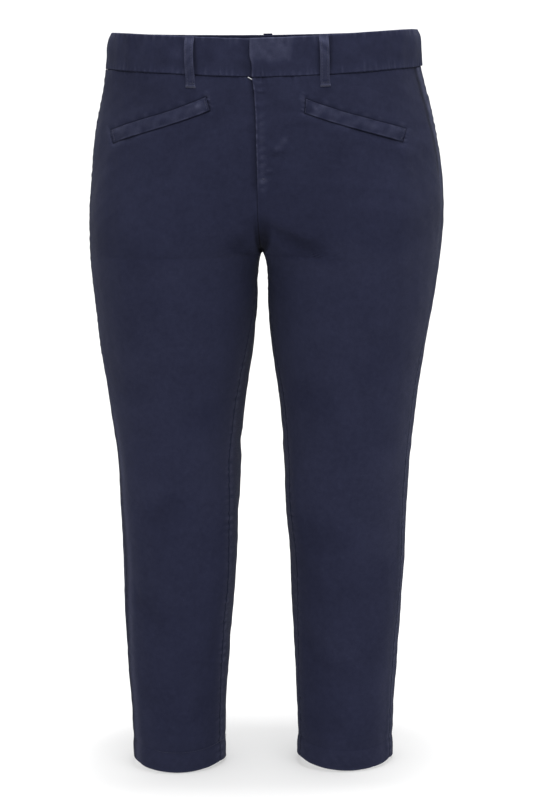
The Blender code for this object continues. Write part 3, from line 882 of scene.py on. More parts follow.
def twill(name="navy_twill"):
    """Fine garment-washed twill: its diagonal wale, uneven dye, a paler shade where it is worn and where a
    highlight is painted, and a dark shade in its seams and where shade is painted.
    """
    shader = Shader(name)
    place = shader.place()
    cloth = shader.node("ShaderNodeUVMap", {"uv_map": "cloth"})
    across, along = shader.parts(cloth)
    fade = shader.node("ShaderNodeAttribute", {"attribute_name": "fade"}, output="Fac")
    turn_across, turn_along = (2 * math.pi * share / setting("wale") for share in WALE_WAY)
    yarn = shader.noise(cloth, 0.9 / setting("wale"), 2.0, 0.6)
    wale = (across * turn_across + along * turn_along + yarn * 2.5).sine()
    patchy = shader.noise(place, 6.0, 2.0, 0.5)
    cloudy = shader.noise(place, 30.0, 3.0, 0.6)
    mottled = shader.noise(place, 170.0, 3.0, 0.65)
    speck = shader.noise(cloth, 620.0, 3.0, 0.65)
    nap = shader.noise(cloth, 1400.0, 2.0, 0.7)
    broad = (patchy - 0.5) * 0.8 + (cloudy - 0.5) * 0.8
    fine = (mottled - 0.5) * 1.1 + (speck - 0.5) * 0.7 + wale * 0.06
    ground = shader.mix((broad + fine + 0.5).clamped(), rgba("deep_colour"), rgba("cloth_colour"))
    fleck = ((mottled - 0.63) * 5.0).clamped() * ((speck - 0.5) * 4.0).clamped()
    # Paler where the cloth is worn and where a highlight is painted
    worn = fade * (0.55 + mottled * 0.5 + (speck - 0.5) * 1.2) + fleck * 0.30
    washed = shader.mix(worn.clamped(), ground, rgba("wear_and_highlight_colour"))
    line, groove = welt_shadow_line(shader)
    # Darker in the seams, where shade is painted, and along the painted shadow line round each welt
    shade = (fade * -1.0).clamped().math("MAXIMUM", line)
    colour = shader.mix(shade, washed, rgba("shade_colour"))
    height = wale * 0.5 + yarn * 0.6 + nap * 0.7 + cloudy * 0.8 + mottled * 0.8 - groove * 3.0
    normal = shader.relief(height, 0.6, 0.00022)
    shader.surface(Base_Color=colour, Normal=normal, Roughness=0.9, Metallic=0.0, Specular_IOR_Level=0.06)
    shader.surface(Sheen_Weight=0.03, Sheen_Roughness=0.40, Sheen_Tint=rgba("sheen_colour"))
    return shader.material


def welt_shadow_line(shader):
    """A dark line round a pocket's welt, painted shadow that is thicker under it, and the groove it lies in.
    """
    length, height = welt_size("left")
    a, b = shader.parts(shader.node("ShaderNodeUVMap", {"uv_map": "pocket"}))
    outer_half = a > 0.0
    past_end = (a.math("ABSOLUTE") - 0.5) * length - 0.0003 - outer_half * 0.0009
    past_side = (b.math("ABSOLUTE") - 0.5) * height - 0.0002
    beside = past_end.math("MAXIMUM", past_side)
    below = (b * 9.0).clamped()
    share = beside.math("ABSOLUTE").math("DIVIDE", 0.0006 + below * 0.0005)
    inner_end = (past_end > past_side) * (1.0 - outer_half)
    line = (1.0 - share * share).clamped() * (0.80 - inner_end * 0.30)
    groove = (1.0 - (share * 0.4) ** 2).clamped()
    return line, groove * (beside > -0.004)


def thread(name="navy_thread"):
    """Spun sewing thread, a little brighter than the twill."""
    shader = Shader(name)
    ply = shader.waves(900.0, 3.0)
    tone = shader.noise(shader.place(), 60.0)
    colour = shader.mix((ply * 0.5 + tone * 0.5).clamped(), rgba("cloth_colour"), rgba("thread_colour"))
    normal = shader.relief(ply, 0.5, 0.00006)
    shader.surface(Base_Color=colour, Normal=normal, Roughness=0.62, Specular_IOR_Level=0.35)
    shader.surface(Sheen_Weight=0.15)
    return shader.material


def woven_tape(name="navy_tape"):
    """Closely woven polyester tape."""
    shader = Shader(name)
    weave = shader.waves(420.0, 0.6)
    colour = shader.mix(weave, rgba("deep_colour"), rgba("cloth_colour"))
    shader.surface(Base_Color=colour, Normal=shader.relief(weave, 0.6, 0.0001), Roughness=0.6)
    return shader.material


def plated_steel(name="plated_steel"):
    """Nickel-plated metal with fine rub marks."""
    shader = Shader(name)
    rubbed = shader.noise(shader.place(), 700.0, 4.0, 0.6)
    colour = shader.mix(rubbed, (*DULL_NICKEL, 1), (*BRIGHT_NICKEL, 1))
    normal = shader.relief(rubbed, 0.25, 0.00005)
    shader.surface(Base_Color=colour, Normal=normal, Metallic=1.0, Roughness=rubbed * 0.2 + 0.18)
    return shader.material


def shared(maker):
    """The material that this maker makes, made once."""
    name = maker.__defaults__[0]
    return bpy.data.materials.get(name) or maker()


def fold_relief(name, s, z, span):
    """Height of the listed folds over a panel."""
    total = 0 * s
    for s0, z0, s1, z1, bow, width, depth in FOLDS[name]:
        nearest = np.full(s.shape, np.inf)
        along = 0 * s
        for t in np.linspace(0, 1, FOLD_STEPS):
            at_s = s0 + (s1 - s0) * t
            at_z = z0 + (z1 - z0) * t - 4 * bow * t * (1 - t)
            away = ((s - at_s) * span) ** 2 + (z - at_z) ** 2
            along = np.where(away < nearest, t, along)
            nearest = np.minimum(away, nearest)
        uneven = 0.12 * ripple(along * 3, round(1e4 * abs(z0)))
        swollen = width * (0.75 + 0.5 * np.sin(math.pi * along) + uneven)
        taper = np.sin(math.pi * np.clip(along, 0.02, 0.98)) ** 0.7
        total = total + depth * taper * np.exp(-nearest / swollen**2)
    return total


def welt_point(side, a, b):
    """The v and s of the spot that share along a welt, from its inner end, and that share down it."""
    top_in, top_out, low_in, low_out = (np.array(corner) for corner in WELTS[side])
    a, b = (np.asarray(share)[..., None] for share in np.broadcast_arrays(a, b))
    spot = (top_in * (1 - a) + top_out * a) * (1 - b) + (low_in * (1 - a) + low_out * a) * b
    top_sag, low_sag = WELT_SAG[side]
    sag = 4 * a * (1 - a) * (a > 0) * (a < 1) * (top_sag * (1 - b) + low_sag * b)
    return spot[..., 0] + sag[..., 0], spot[..., 1]


def welt_size(side):
    """Length and height of a welt."""
    middles = ((0, 0.5), (1, 0.5), (0.5, 0), (0.5, 1))
    left, right, top, foot = (surface("front", *welt_point(side, a, b)) for a, b in middles)
    return np.linalg.norm(right - left), np.linalg.norm(foot - top)


def welt_place(side, v, s):
    """How far each spot of the front lies from the welt's middle, as shares of its length and its height."""
    a, b = 0.5 + 0 * v, 0.5 + 0 * v
    for _ in range(WELT_ROUNDS):
        v_here, s_here = welt_point(side, a, b)
        v_a, s_a = (far - near for far, near in zip(welt_point(side, 1, b), welt_point(side, 0, b)))
        v_b, s_b = (far - near for far, near in zip(welt_point(side, a, 1), welt_point(side, a, 0)))
        turn = v_a * s_b - v_b * s_a
        turn = np.where(np.abs(turn) < LEAST_TURN, LEAST_TURN, turn)
        more_a = ((v - v_here) * s_b - (s - s_here) * v_b) / turn
        more_b = ((s - s_here) * v_a - (v - v_here) * s_a) / turn
        a, b = np.clip(a + more_a, *WELT_REACH["a"]), np.clip(b + more_b, *WELT_REACH["b"])
    return a - 0.5, b - 0.5


def welt_relief(a, b, side):
    """The front is pressed in along a welt and puckers at its two ends: the relief and the fading."""
    length, height = welt_size(side)
    a, b = a * length, b * height
    past_end = np.abs(a) - length / 2
    past_side = np.abs(b) - height / 2
    beside = np.maximum(past_end, past_side)
    end = bump(past_end, 0.006) * bump(np.maximum(past_side, 0), 0.005)
    pucker = 0.00045 * end * ripple((b + a * 0.4) / 0.0060, 41)
    pressed = -0.0006 * (beside < 0.0030) + 0.0005 * bump(beside - 0.0075, 0.006)
    above = 0.30 * bump(beside - 0.0040, 0.0030) * (0.45 + 0.4 * ripple(a / 0.021, 42)) * (b < 0)
    at_end = (0.24 + 0.08 * (a < 0)) * end * (past_end > 0) * (0.7 + 0.5 * ripple(b / 0.0055, 43))
    return pressed + pucker, above + at_end


def blotches(at, seed):
    """Uneven patches along a worn edge, from 0 to 1."""
    return np.clip(0.5 + 0.5 * ripple(at, seed), 0, 1)


def fly_relief(spots):
    """Lift, thickness, relief and shading of a front round the fly: its worn paler edge and blotches, painted
    highlight and shade on the dimples, and on the right front a painted shadow under the fly's edge.
    """
    x, from_edge = spots.x, spots.arc
    drop = drop_at(spots.v) + 0 * x
    open_part = ends(drop, FLY_ENDS, FLY_ENDS_OVER)
    if spots.mirror:
        # Painted shadow on the right front under the fly's edge
        shade = -0.34 * bump(x - 0.0015, 0.0050) * open_part
        return 0 * x, 0 * x, -0.0006 * bump(x - 0.004, 0.006) * open_part, shade
    lift = fly(spots.v, "lift") * ends(x, FLY_WIDTH, FLY_RAMP)
    rolled = lines(from_edge, ((0.0045, 0.0038, 0.00050), (0.0120, 0.0028, -0.00035)))
    relief = open_part * (rolled + 0.00030 * bump(from_edge, 0.006) * ripple(drop / 0.011, 23))
    edge = (0.30 + 0.60 * blotches(drop / 0.0075, 25)) * (1 - 0.55 * grows(drop, 0.095, 0.020))
    inside = 0.38 * blotches(drop / 0.0105 + x * 30, 24) * (0.20 + 0.80 * grows(drop, 0.030, 0.020))
    fade = open_part * (edge * bump(from_edge - 0.0006, 0.0011) + inside * bump(from_edge - 0.0068, 0.0034))
    # Raised dimples get a painted highlight and sunk ones painted shade
    for at_x, at_z, across, down, height, paler in FLY_DIMPLES:
        above = spots.z - at_z
        spot = bump(x - at_x - above * DIMPLE_SLANT, across) * bump(above, down)
        relief = relief + height * spot
        fade = fade + paler * spot
    return lift, FLY_THICKER * (x < FLY_WIDTH) * open_part, relief, fade


def puckers(kind, from_seam, along, mirror):
    """Uneven puckers beside a seam: their relief, and the paler shade of their crests."""
    height, reach, length, seed, paler = PUCKERS[kind]
    relief = height * bump(from_seam, reach) * ripple(along / length, seed + mirror)
    return relief, paler * np.clip(relief, 0, None)


def panel_rows():
    """The v of each row of a panel: close together at the waist seam and the hem, then even."""
    dense = np.linspace(0, 2, 1201)
    grown = 0
    for half in ("front", "back"):
        for s in (0.0, 0.5, 1.0):
            path = surface(half, dense, s)
            grown = np.maximum(grown, np.linalg.norm(np.diff(path, axis=0), axis=1))
    length = np.concatenate([[0], np.cumsum(grown)])
    at_waist = row_at(np.array(EDGE_STEPS))
    in_hem = np.linspace(HEM_DEPTH - HEM_EVEN, HEM_EVEN, 6)
    up = np.concatenate([HEM_DEPTH + np.array(HEM_STEPS), in_hem, np.array(EDGE_STEPS)[::-1]])
    first = np.interp(row_at(EDGE_ENDS), dense, length)
    last = np.interp(2 - (HEM_DEPTH + HEM_EVEN) / LEG, dense, length)
    even = np.interp(np.linspace(first, last, round((last - first) / EVEN_STEP)), length, dense)
    crotch = 1 + np.array(CROTCH_STEPS) / LEG
    clear = EDGE_STEPS[3] / LEG
    even = even[(even < crotch[0] - clear) | (even > crotch[-1] + clear)]
    return np.sort(np.concatenate([at_waist, even, crotch, 2 - up / LEG]))


class Spots:
    """The grid of a front or a back on the worn form, and how far each spot lies from the edges."""

    def __init__(self, name, half, mirror):
        self.name, self.half, self.mirror = name, half, mirror
        self.side = "right" if mirror else "left"
        self.v = panel_rows()[:, None]
        self.s, self.arc = self.columns()
        self.points = surface(half, self.v, self.s)
        self.out = surface_normals(half, self.v, self.s)
        self.x, self.z = self.points[..., 0], self.points[..., 2]
        self.real = sided(self.points, mirror)
        self.span = self.arc[:, -1:]
        self.from_side = self.span - self.arc
        self.from_hem = (2 - self.v) * LEG + 0 * self.s
        self.from_waist = np.where(self.v < 1, WAIST_SEAM["side"] - self.z, 1.0)
        if half == "front":
            self.from_waist = np.minimum(self.from_waist, drop_at(self.v) + 0 * self.s)
        self.on_leg = grows(self.v, 1.0, 0.09)

    def columns(self):
        """The s of every spot, and how far round the cloth it lies from the centre seam or the inseam."""
        dense = np.linspace(-0.1, 1, DENSE)
        edge, way = ("right_edge", -1) if self.mirror else ("left_edge", 1)
        s, arc = [], []
        for v in self.v[:, 0]:
            path = surface(self.half, v, dense)
            length = run_along(path)
            start = np.interp(0, dense, length)
            if self.half == "front" and drop_at(v) < FLY_ROWS[-1][0]:
                start = np.interp(way * fly(v, edge), path[:, 0], length)
            span = length[-1] - start
            even = np.linspace(EDGE_ENDS, span - EDGE_ENDS, EVEN_COLUMNS)
            at = np.concatenate([EDGE_STEPS, even, span - np.array(EDGE_STEPS)[::-1]])
            s.append(np.interp(at + start, length, dense))
            arc.append(at)
        return np.array(s), np.array(arc)


def panel_shape(spots):
    """The panel's own unevenness, and how far its leg swells past the common form."""
    table = np.array(SWELL_ROWS)[::-1]
    outer, inner = (spline(table[:, 0], table[:, i + 2 * spots.mirror], spots.z) for i in (1, 2))
    swelling = outer * grows(spots.s, 0.45, 0.40) + inner * ends(spots.s, 0.05, 0.30)
    fuller = 0.0011 * (not spots.mirror) * grows(-spots.z, 0.62, 0.20)
    uneven = sum(height * swell(spots.real, length, seed) for height, length, seed in UNEVEN)
    return swelling + fuller + uneven


def edge_shades(spots):
    """Painted highlight and dark lines along a panel's edges, painted light on the inner thighs, and painted
    light and shade by height.
    """
    shines_out, shines_in = SEAM_SHINE[spots.name]
    # Painted highlight beside the outseam and, on the leg, beside the inseam
    shine = shines_out * bump(spots.from_side - 0.0030, 0.0030)
    shine = shine + shines_in * spots.on_leg * bump(spots.arc - 0.0045, 0.0042)
    fade = shine * (0.6 + 0.4 * ripple(spots.z / 0.012, 31)) + 0.16 * bump(spots.from_hem - 0.0008, 0.0014)
    dark = 0.55 * bump(spots.arc, 0.0005 + 0.0006 * spots.on_leg) + 0.55 * bump(spots.from_waist, 0.0009)
    dark = dark + 0.60 * bump(spots.from_side, 0.0011) + 0.08 * bump(spots.from_hem - HEM_DEPTH, 0.0007)
    thigh = spots.on_leg * ends(spots.v, 1.36, 0.20)
    # Painted light on the inner thighs
    paler = INNER_THIGH_LIGHT[spots.side] * thigh * bump(spots.arc, 0.040)
    # Painted light and shade by height are added last
    return fade - dark + paler + np.interp(spots.z, *np.array(PAINTED_LIGHT_ROWS).T)


def side_shades(spots):
    """The relief and the painted highlight and shadow lines down the side of a front, with the pressed edge
    of the left hip and painted light near the left knee.
    """
    relief, fade = 0, 0
    for place, width, paler, starts, over in SIDE_LINES[spots.side]:
        fade = fade + paler * grows(-spots.z, starts, over) * bump(spots.from_side - place, width)
    if not spots.mirror:
        # Painted light over the outer side of the left leg near the knee
        fade = fade + 0.10 * bump(spots.z + 0.565, 0.080) * bump(spots.from_side - 0.020, 0.035)
        heights, places = np.array(SEAM_LINE).T
        line = spline(heights, places, spots.z)
        broken = swell(spots.real, 0.014, 41)
        strip = bump(spots.from_side - 0.62 * line, 0.34 * line) * grows(spots.z, -0.260, 0.150)
        dark = grows(spots.z, -0.158, 0.030) * bump(spots.from_side - line, 0.0040)
        relief = 0.00010 * strip * broken
        # Painted highlight over the pressed strip and a painted shadow line at its edge
        fade = fade + strip * (0.56 + 0.20 * broken) - dark * (0.85 + 0.15 * broken)
    return relief, fade


def crotch_shades(spots):
    """The relief and the painted shadow where the crotch curve of a front turns under, with a painted
    highlight on the seam's rolled edge below the fly.
    """
    drop = drop_at(spots.v)
    drawn_in = grows(drop, 0.150, 0.035) * ends(spots.v, 0.93, 0.07)
    below_fly = grows(drop, 0.134, 0.010) * ends(spots.v, 0.88, 0.06)
    dark = grows(drop, 0.150, 0.054) * ends(spots.v, 1.0, 0.05) * ends(spots.arc, *CROTCH_SHADE[spots.side])
    relief = -0.0040 * bump(spots.arc, 0.0080) * drawn_in
    # A painted highlight on the rolled seam edge below the fly, and the painted shadow of the crotch
    return relief, 0.14 * below_fly * bump(spots.arc, 0.0018) - 0.92 * dark


def panel(name, half, mirror, made_of):
    """One front or back with its folds, its puckered seams and its turned-up hem."""
    spots = Spots(name, half, mirror)
    calm = grows(spots.arc, 0, 0.03) * grows(spots.from_side, 0, 0.03)
    folds = fold_relief(name, spots.s, spots.z, spots.span) * (0.25 + 0.75 * calm)
    inseam, inseam_fade = puckers("inseam", spots.arc, spots.z, mirror)
    outseam, _ = puckers("outseam", spots.from_side, spots.z, mirror)
    top, top_fade = puckers("waist", spots.from_waist, spots.arc, mirror)
    slanted = spots.arc + spots.from_hem * HEM_ROPE_SLANT
    rope, rope_fade = puckers("hem", spots.from_hem - HEM_ROPE_AT, slanted, mirror)
    hem_line = lines(spots.from_hem - HEM_DEPTH, HEM_GROOVES)
    relief = panel_shape(spots) + folds + inseam * spots.on_leg + outseam + top + hem_line + rope
    fade = edge_shades(spots) + inseam_fade * spots.on_leg + top_fade + rope_fade
    # Painted highlight on fold crests and painted shade in fold troughs
    fade = fade + CREST_HIGHLIGHT * np.clip(folds, 0, None) + TROUGH_SHADE * np.clip(folds, None, 0)

    lift, thicker = 0, 0
    if half == "front":
        lift, thicker, *at_fly = fly_relief(spots)
        a, b = welt_place(spots.side, spots.v + 0 * spots.s, spots.s)
        near_welt = (spots.v < WELT_TO) * (spots.v > WELT_FROM)
        at_welt = (near_welt * part for part in welt_relief(a, b, spots.side))
        for more_relief, more_wear_and_painted_light in (at_fly, at_welt, side_shades(spots), crotch_shades(spots)):
            relief = relief + more_relief
            fade = fade + more_wear_and_painted_light
    else:
        cleft = bump(spots.arc, 0.010) * grows(spots.v, 0.35, 0.30) * ends(spots.v, 0.93, 0.07)
        relief = relief - 0.0020 * cleft
    edges = sum(roll(away, EDGE_ROUND) for away in (spots.arc, spots.from_side, spots.from_waist))
    edges = edges + roll(spots.from_hem, 0.0011)
    in_hem = grows(HEM_DEPTH + 0.0012 - spots.from_hem, 0, 0.0012)
    thick = setting("cloth_thickness") + 0.0011 * in_hem + thicker + roll(spots.from_hem, 0.0010)
    outer = spots.points + spots.out * (lift + relief + edges)[..., None]
    inner = spots.points + spots.out * (lift + relief - thick)[..., None]
    if half == "back":
        outer[..., 0] = np.where(spots.x < 0, np.maximum(outer[..., 0], 0), outer[..., 0])
    down = run_along(spots.points[:, spots.s.shape[1] // 2])
    across = (-1 if mirror else 1) * (spots.arc - spots.span / 2)
    cloth = np.stack([across, -down[:, None] + 0 * across], -1)
    made = sheet_of(name, outer, inner, made_of, mirror, fade, cloth)
    if half == "front":
        pocket = np.clip(np.stack([a, b], -1), -3, 3).reshape(-1, 2)
        add_map(made, "pocket", np.concatenate([pocket] * 2))
    put(made, name)
    steps_down, steps_across = np.diff(spots.points, axis=0)[:, :-1], np.diff(spots.points, axis=1)[:-1]
    return made


def band_offset(x, mirror):
    """How far the front of the waistband stands off the form, at its overlap or underlap and past it."""
    if mirror:
        return BAND_DIP + (BAND_PROUD - BAND_DIP) * grows(x, DIP_ENDS, BAND_RAMP)
    return BAND_LIFT + (BAND_PROUD - BAND_LIFT) * grows(x, LIFT_ENDS, BAND_RAMP)


def waistband(name, mirror, made_of):
    """Half the waistband, folded at its top edge and puckered along both edges."""
    end = UNDERLAP if mirror else OVERLAP
    first = {"front": s_of("front", end), "back": s_of("back", 0.0)}
    height = BAND_HEIGHT["front"]
    shares = edge_spaced(0, height, BAND_STEP) / height
    at_end = s_of("front", end + OVERLAP_SWING) - first["front"]
    swing = at_end * grows(shares[:, None], 0.25, 0.35) * (not mirror)
    columns, points, out = [], [], []
    for half in ("back", "front"):
        dense = np.linspace(first[half], 1, DENSE)
        length = run_along(waist(half, dense, 0.02))
        at = edge_spaced(0, length[-1] + EDGE_ENDS, BAND_COLUMN)
        at = at[at <= length[-1]]
        at[-1] = length[-1]
        across = np.interp(at, length, dense)
        columns.append(across)
        rise = BAND_CLEARS + shares[:, None] * slope(BAND_HEIGHT[half], BAND_HEIGHT["side"], across)
        if half == "front":
            across = across + swing * ends(across - first[half], 0, 0.10)
        points.append(waist(half, across, rise))
        out.append(waist_normals(half, across, rise))
    points = np.concatenate([points[0], points[1][:, -2::-1]], axis=1)
    out = np.concatenate([out[0], out[1][:, -2::-1]], axis=1)
    s = np.concatenate([columns[0], columns[1][-2::-1]])
    front = np.arange(len(s)) >= len(columns[0])
    arc = run_along(points[len(shares) // 2]) + 0 * shares[:, None]
    up = shares[:, None] * height + 0 * arc
    down = height - up
    total = arc[0, -1]
    x = points[..., 0]
    real = sided(points, mirror)

    reach = 0.0070 + 0.0028 * ripple(arc / 0.019, 57 + mirror)
    low = bump(up, reach) * ripple(arc / 0.0066, 51 + mirror)
    high = bump(down, 0.0055) * ripple(arc / 0.0080, 53 + mirror)
    bowed = 0.0014 * np.sin(math.pi * shares[:, None]) - 0.0028 * bump(down, 0.0050)
    offset = np.where(front, band_offset(x, mirror), BAND_PROUD) + grows(s, 0.72, 0.28) * bowed
    buckle = 0.00042 * ripple(arc / 0.034 + up * 6, 55 + mirror) * (0.4 + 0.6 * up / height)
    relief = 0.00040 * low + 0.00026 * high + buckle + 0.00016 * swell(real, 0.020, 8)
    thick = setting("band_thickness")
    folded = roll(down, thick / 2)
    edges = roll(up, 0.0009) + folded + roll(arc, 0.0007) + roll(total - arc, thick / 2)
    outer = points + out * (offset + relief + edges)[..., None]
    inner = points + out * (offset + relief * 0.5 - thick - folded * 0.98)[..., None]

    fade = 0.10 * np.clip(swell(real, 0.030, 9), 0, 1) - 0.05
    fade = fade + 0.22 * np.clip(low, 0, 1.2) + 0.20 * np.clip(high, -0.4, 1.2)
    fade = fade + 0.34 * bump(down - 0.0006, 0.0010) + lines(up, BAND_LINES)
    if mirror:
        # Painted shadow on the underlap beside the overlapping end of the left band
        fade = fade - 0.14 * front * ends(x, 0.013, 0.010)
    else:
        top_piece = front * ends(x, 0.0365, 0.007) * grows(up, 0.008, 0.016)
        fade = fade + top_piece * (0.28 + 0.06 * swell(real, 0.010, 10))
        fade = fade + 0.26 * front * bump(total - arc - 0.0012, 0.0020)
    # Painted shadow beside each front belt loop, on its +X side
    for _, loop_half, foot_x, top_x, _, loop_mirror in LOOPS:
        if loop_half == "front" and loop_mirror == mirror:
            beside = (x - foot_x - (top_x - foot_x) * shares[:, None]) * (-1 if mirror else 1)
            edge = beside - setting("loop_width") / 2 - 0.0006
            fade = fade - 0.45 * front * (edge > -0.002) * bump(edge, 0.0020)
    made = sheet_of(name, outer, inner, made_of, mirror, fade, np.stack([arc, up], -1))
    put(made, name)
    return made


def welt(name, mirror, made_of):
    """A pocket's welt, softly rounded, with its two ends stitched down."""
    side = "right" if mirror else "left"
    length, height = welt_size(side)
    columns = edge_spaced(0, length, WELT_COLUMN)[None, :]
    rows = edge_spaced(0, height, WELT_ROW)[:, None]
    v, s = welt_point(side, columns / length, rows / height)
    points = surface("front", v, s)
    out = surface_normals("front", v, s)
    real = sided(points, mirror)
    a, b = np.broadcast_arrays(columns, rows)
    from_end = np.minimum(a, length - a)
    from_side = np.minimum(b, height - b)
    edges = np.minimum(roll(from_end, 0.0008), roll(from_side, 0.0009))
    relief = 0.0004 * np.sin(math.pi * b / height) + 0.00022 * swell(real, 0.018, 61)
    relief = relief - 0.00045 * bump(from_end - 0.0022, 0.0010) - 0.00022 * bump(from_side - 0.0022, 0.0007)
    relief = relief + 0.00022 * bump(from_end, 0.007) * ripple(b / 0.0042, 62)
    thick = WELT_THICKNESS - 0.0008 * grows(a / length, 0.80, 0.18)
    outer = points + out * (WELT_CLEARS + thick + relief + edges)[..., None]
    inner = points + out * WELT_CLEARS
    spot = bump(a - 0.0125, 0.0030) * bump(b - 0.0066, 0.0024)
    streak = np.clip(ripple(a / 0.019 + b * 40, 63), -0.5, 1)
    fade = 0.10 + 0.16 * bump(from_side - 0.0012, 0.0010) * (0.6 + streak) + 0.60 * spot
    fade = fade + 0.10 * streak * ends(a, 0.045, 0.03) + 0.08 * swell(real, 0.014, 64)
    # Dark edges of the welt, darker along its foot as painted shadow
    fade = fade - 0.8 * bump(from_end, 0.0004)
    fade = fade - 0.9 * bump(from_side, 0.0004) * np.where(b > height / 2, 1.0, 0.5)
    made = sheet_of(name, outer, inner, made_of, mirror, fade, np.stack([a, -b], -1))
    put(made, name)
    return made


def loop_face(half, middle, across, rise):
    """Points and normals of the waist under a belt loop, that far to each side of its middle."""
    middle = np.reshape(middle, (-1, 1))
    ahead = waist(half, middle + NUDGE, 0.0) - waist(half, middle, 0.0)
    scale = NUDGE / np.linalg.norm(ahead, axis=-1)[:, 0]
    s = middle + across * scale[:, None] + 0 * rise
    rise = rise + 0 * s
    return waist(half, s, rise), waist_normals(half, s, rise)


def loop_middle(half, foot_x, top_x, up):
    """The s of a loop's middle line, that share of the way up."""
    foot, top = s_of(half, foot_x), s_of(half, top_x)
    return foot + (top - foot) * up


def loop_clearance(rise):
    """How far a belt loop stands off the form at these heights."""
    heights, clear = np.array(LOOP_ROWS).T
    return spline(heights, clear, rise)


def loop_stretch(half, taller):
    """How much taller than the front band's a loop is made."""
    return taller * BAND_HEIGHT[half] / BAND_HEIGHT["front"]


def belt_loop(name, half, foot_x, top_x, taller, mirror, made_of):
    """A belt loop: a folded strip with two rows of stitching, caught at the top and the foot."""
    width = setting("loop_width")
    rise = edge_spaced(LOOP_ROWS[0][0], LOOP_ROWS[-1][0], 0.0014)
    across = edge_spaced(0, width, 0.0011) - width / 2
    up = (rise - rise[0])[:, None]
    length = up[-1, 0]
    pinch = 1 - 0.06 * np.sin(math.pi * up / length) ** 2 + 0.05 * bump(up, 0.004)
    middle = loop_middle(half, foot_x, top_x, up / length)
    stretched = rise[:, None] * loop_stretch(half, taller)
    points, out = loop_face(half, middle, across * pinch, stretched)
    from_side = np.minimum(across + width / 2, width / 2 - across)[None, :] + 0 * points[..., 0]
    from_end = np.minimum(up, length - up) + 0 * from_side
    edges = np.minimum(roll(from_side, EDGE_ROUND), roll(from_end, EDGE_ROUND))
    wave = ripple(up / 0.016 + across * 60, 71 + round(1e3 * foot_x) + mirror)
    relief = 0.00010 * wave - 0.00025 * bump(from_side - LOOP_SEAM_IN, 0.0006)
    clear = loop_clearance(rise)[:, None] + 0.0001
    outer = points + out * (clear + LOOP_THICKNESS + relief + edges)[..., None]
    inner = points + out * (clear - roll(from_side, 0.0004) * 0.5)[..., None]
    fade = 0.20 + 0.22 * bump(from_side - 0.0006, 0.0010) + 0.05 * wave + 0.10 * bump(length - up, 0.004)
    fade = fade + lines(up, ((0.0016, 0.0013, 0.55), (0.0058, 0.0022, -0.26)))
    cloth = np.stack(np.broadcast_arrays(across, up), -1)
    made = sheet_of(name, outer, inner, made_of, mirror, fade, cloth)
    put(made, name)
    return made


def stitch_faces():
    """Faces of one stitch: round its sides, then over its two ends."""
    index = np.arange(len(STITCH_RINGS) * THREAD_SIDES).reshape(-1, THREAD_SIDES)
    around = np.roll(index, -1, axis=1)
    sides = np.stack([index[:-1], around[:-1], around[1:], index[1:]], -1).reshape(-1, 4)
    start, end = index[0], index[-1]
    caps = [start[[3, 2, 1, 0]], start[[0, 5, 4, 3]], end[[0, 1, 2, 3]], end[[3, 4, 5, 0]]]
    return np.concatenate([sides, caps])


def stitches(name, seams, made_of, slot="twill"):
    """Sewing thread along seams. Each seam is its points, its normals and whether it is mirrored, and
    it may add its own length of stitch and gap."""
    usual = setting("stitch_length"), setting("stitch_gap")
    radius = setting("thread_radius")
    turns = np.linspace(0, 2 * math.pi, THREAD_SIDES, endpoint=False)[:, None]
    place, high, thick = np.array(STITCH_RINGS).T[..., None]
    faces = stitch_faces()
    all_points, all_faces = [], []
    for path, normal, mirror, *own in seams:
        length, gap = own or usual
        path, normal = np.asarray(path), np.asarray(normal)
        at = run_along(path)
        for k in range(int((at[-1] + usual[1] / 2) // (length + gap))):
            t = k * (length + gap) + place * length
            spot = np.concatenate([np.interp(t, at, path[:, i]) for i in range(3)], axis=1)
            out = unit(np.concatenate([np.interp(t, at, normal[:, i]) for i in range(3)], axis=1))
            side = unit(np.cross(unit(np.gradient(spot, axis=0)), out))
            spot = spot + out * (high * radius)
            way = side[:, None] * np.cos(turns) + out[:, None] * np.sin(turns)
            rings = spot[:, None] + way * (thick * radius)[:, None]
            all_faces.append((faces[:, ::-1] if mirror else faces) + len(all_points) * rings[..., 0].size)
            all_points.append(leaned(rings.reshape(-1, 3), mirror))
    made = mesh_of(name, np.concatenate(all_points), np.concatenate(all_faces), made_of)
    return put(made, slot=slot)


def bar_tack(middle, side, out, width, rows, mirror):
    """A short, dense row of stitches across a strain point."""
    up = unit(np.cross(out, side))
    seams = []
    for k in range(rows):
        here = middle + up * (k - (rows - 1) / 2) * TACK_PITCH
        ends_at = np.array([here - side * width / 2, here + side * width / 2])
        seams.append((ends_at, np.array([out, out]), mirror, *TACK_STITCH))
    return seams


def panel_seam(half, v, s, offset, mirror):
    """Points along a panel that far off the form, their normals and the side."""
    v, s = np.broadcast_arrays(np.asarray(v, float), np.asarray(s, float))
    out = surface_normals(half, v, s)
    return surface(half, v, s) + out * offset, out, mirror


def hem_seams():
    """The sunken line of sewing round each hem."""
    v = 2 - HEM_DEPTH / LEG
    s = np.linspace(0.004, 0.996, 90)
    return [panel_seam(half, v, s, -0.0002, mirror) for half in ("front", "back") for mirror in (False, True)]


def fly_seams():
    """The tack at the foot of the fly."""
    v = row_at(FLY_TACK["drop"])
    face, out, mirror = panel_seam("front", v, s_of("front", FLY_TACK["x"], v), FLY_TACK["clears"], False)
    return bar_tack(face, np.array([1.0, 0, 0]), out, FLY_TACK["width"], FLY_TACK["rows"], mirror)


def welt_seams():
    """The tacks across a welt's two ends."""
    seams = []
    for side, mirror in SIDES:
        for share, clears in WELT_TACKS[side]:
            v, s = welt_point(side, share, np.linspace(0.06, 0.94, 24))
            seams.append((*panel_seam("front", v, s, clears, mirror), *WELT_STITCH))
    return seams


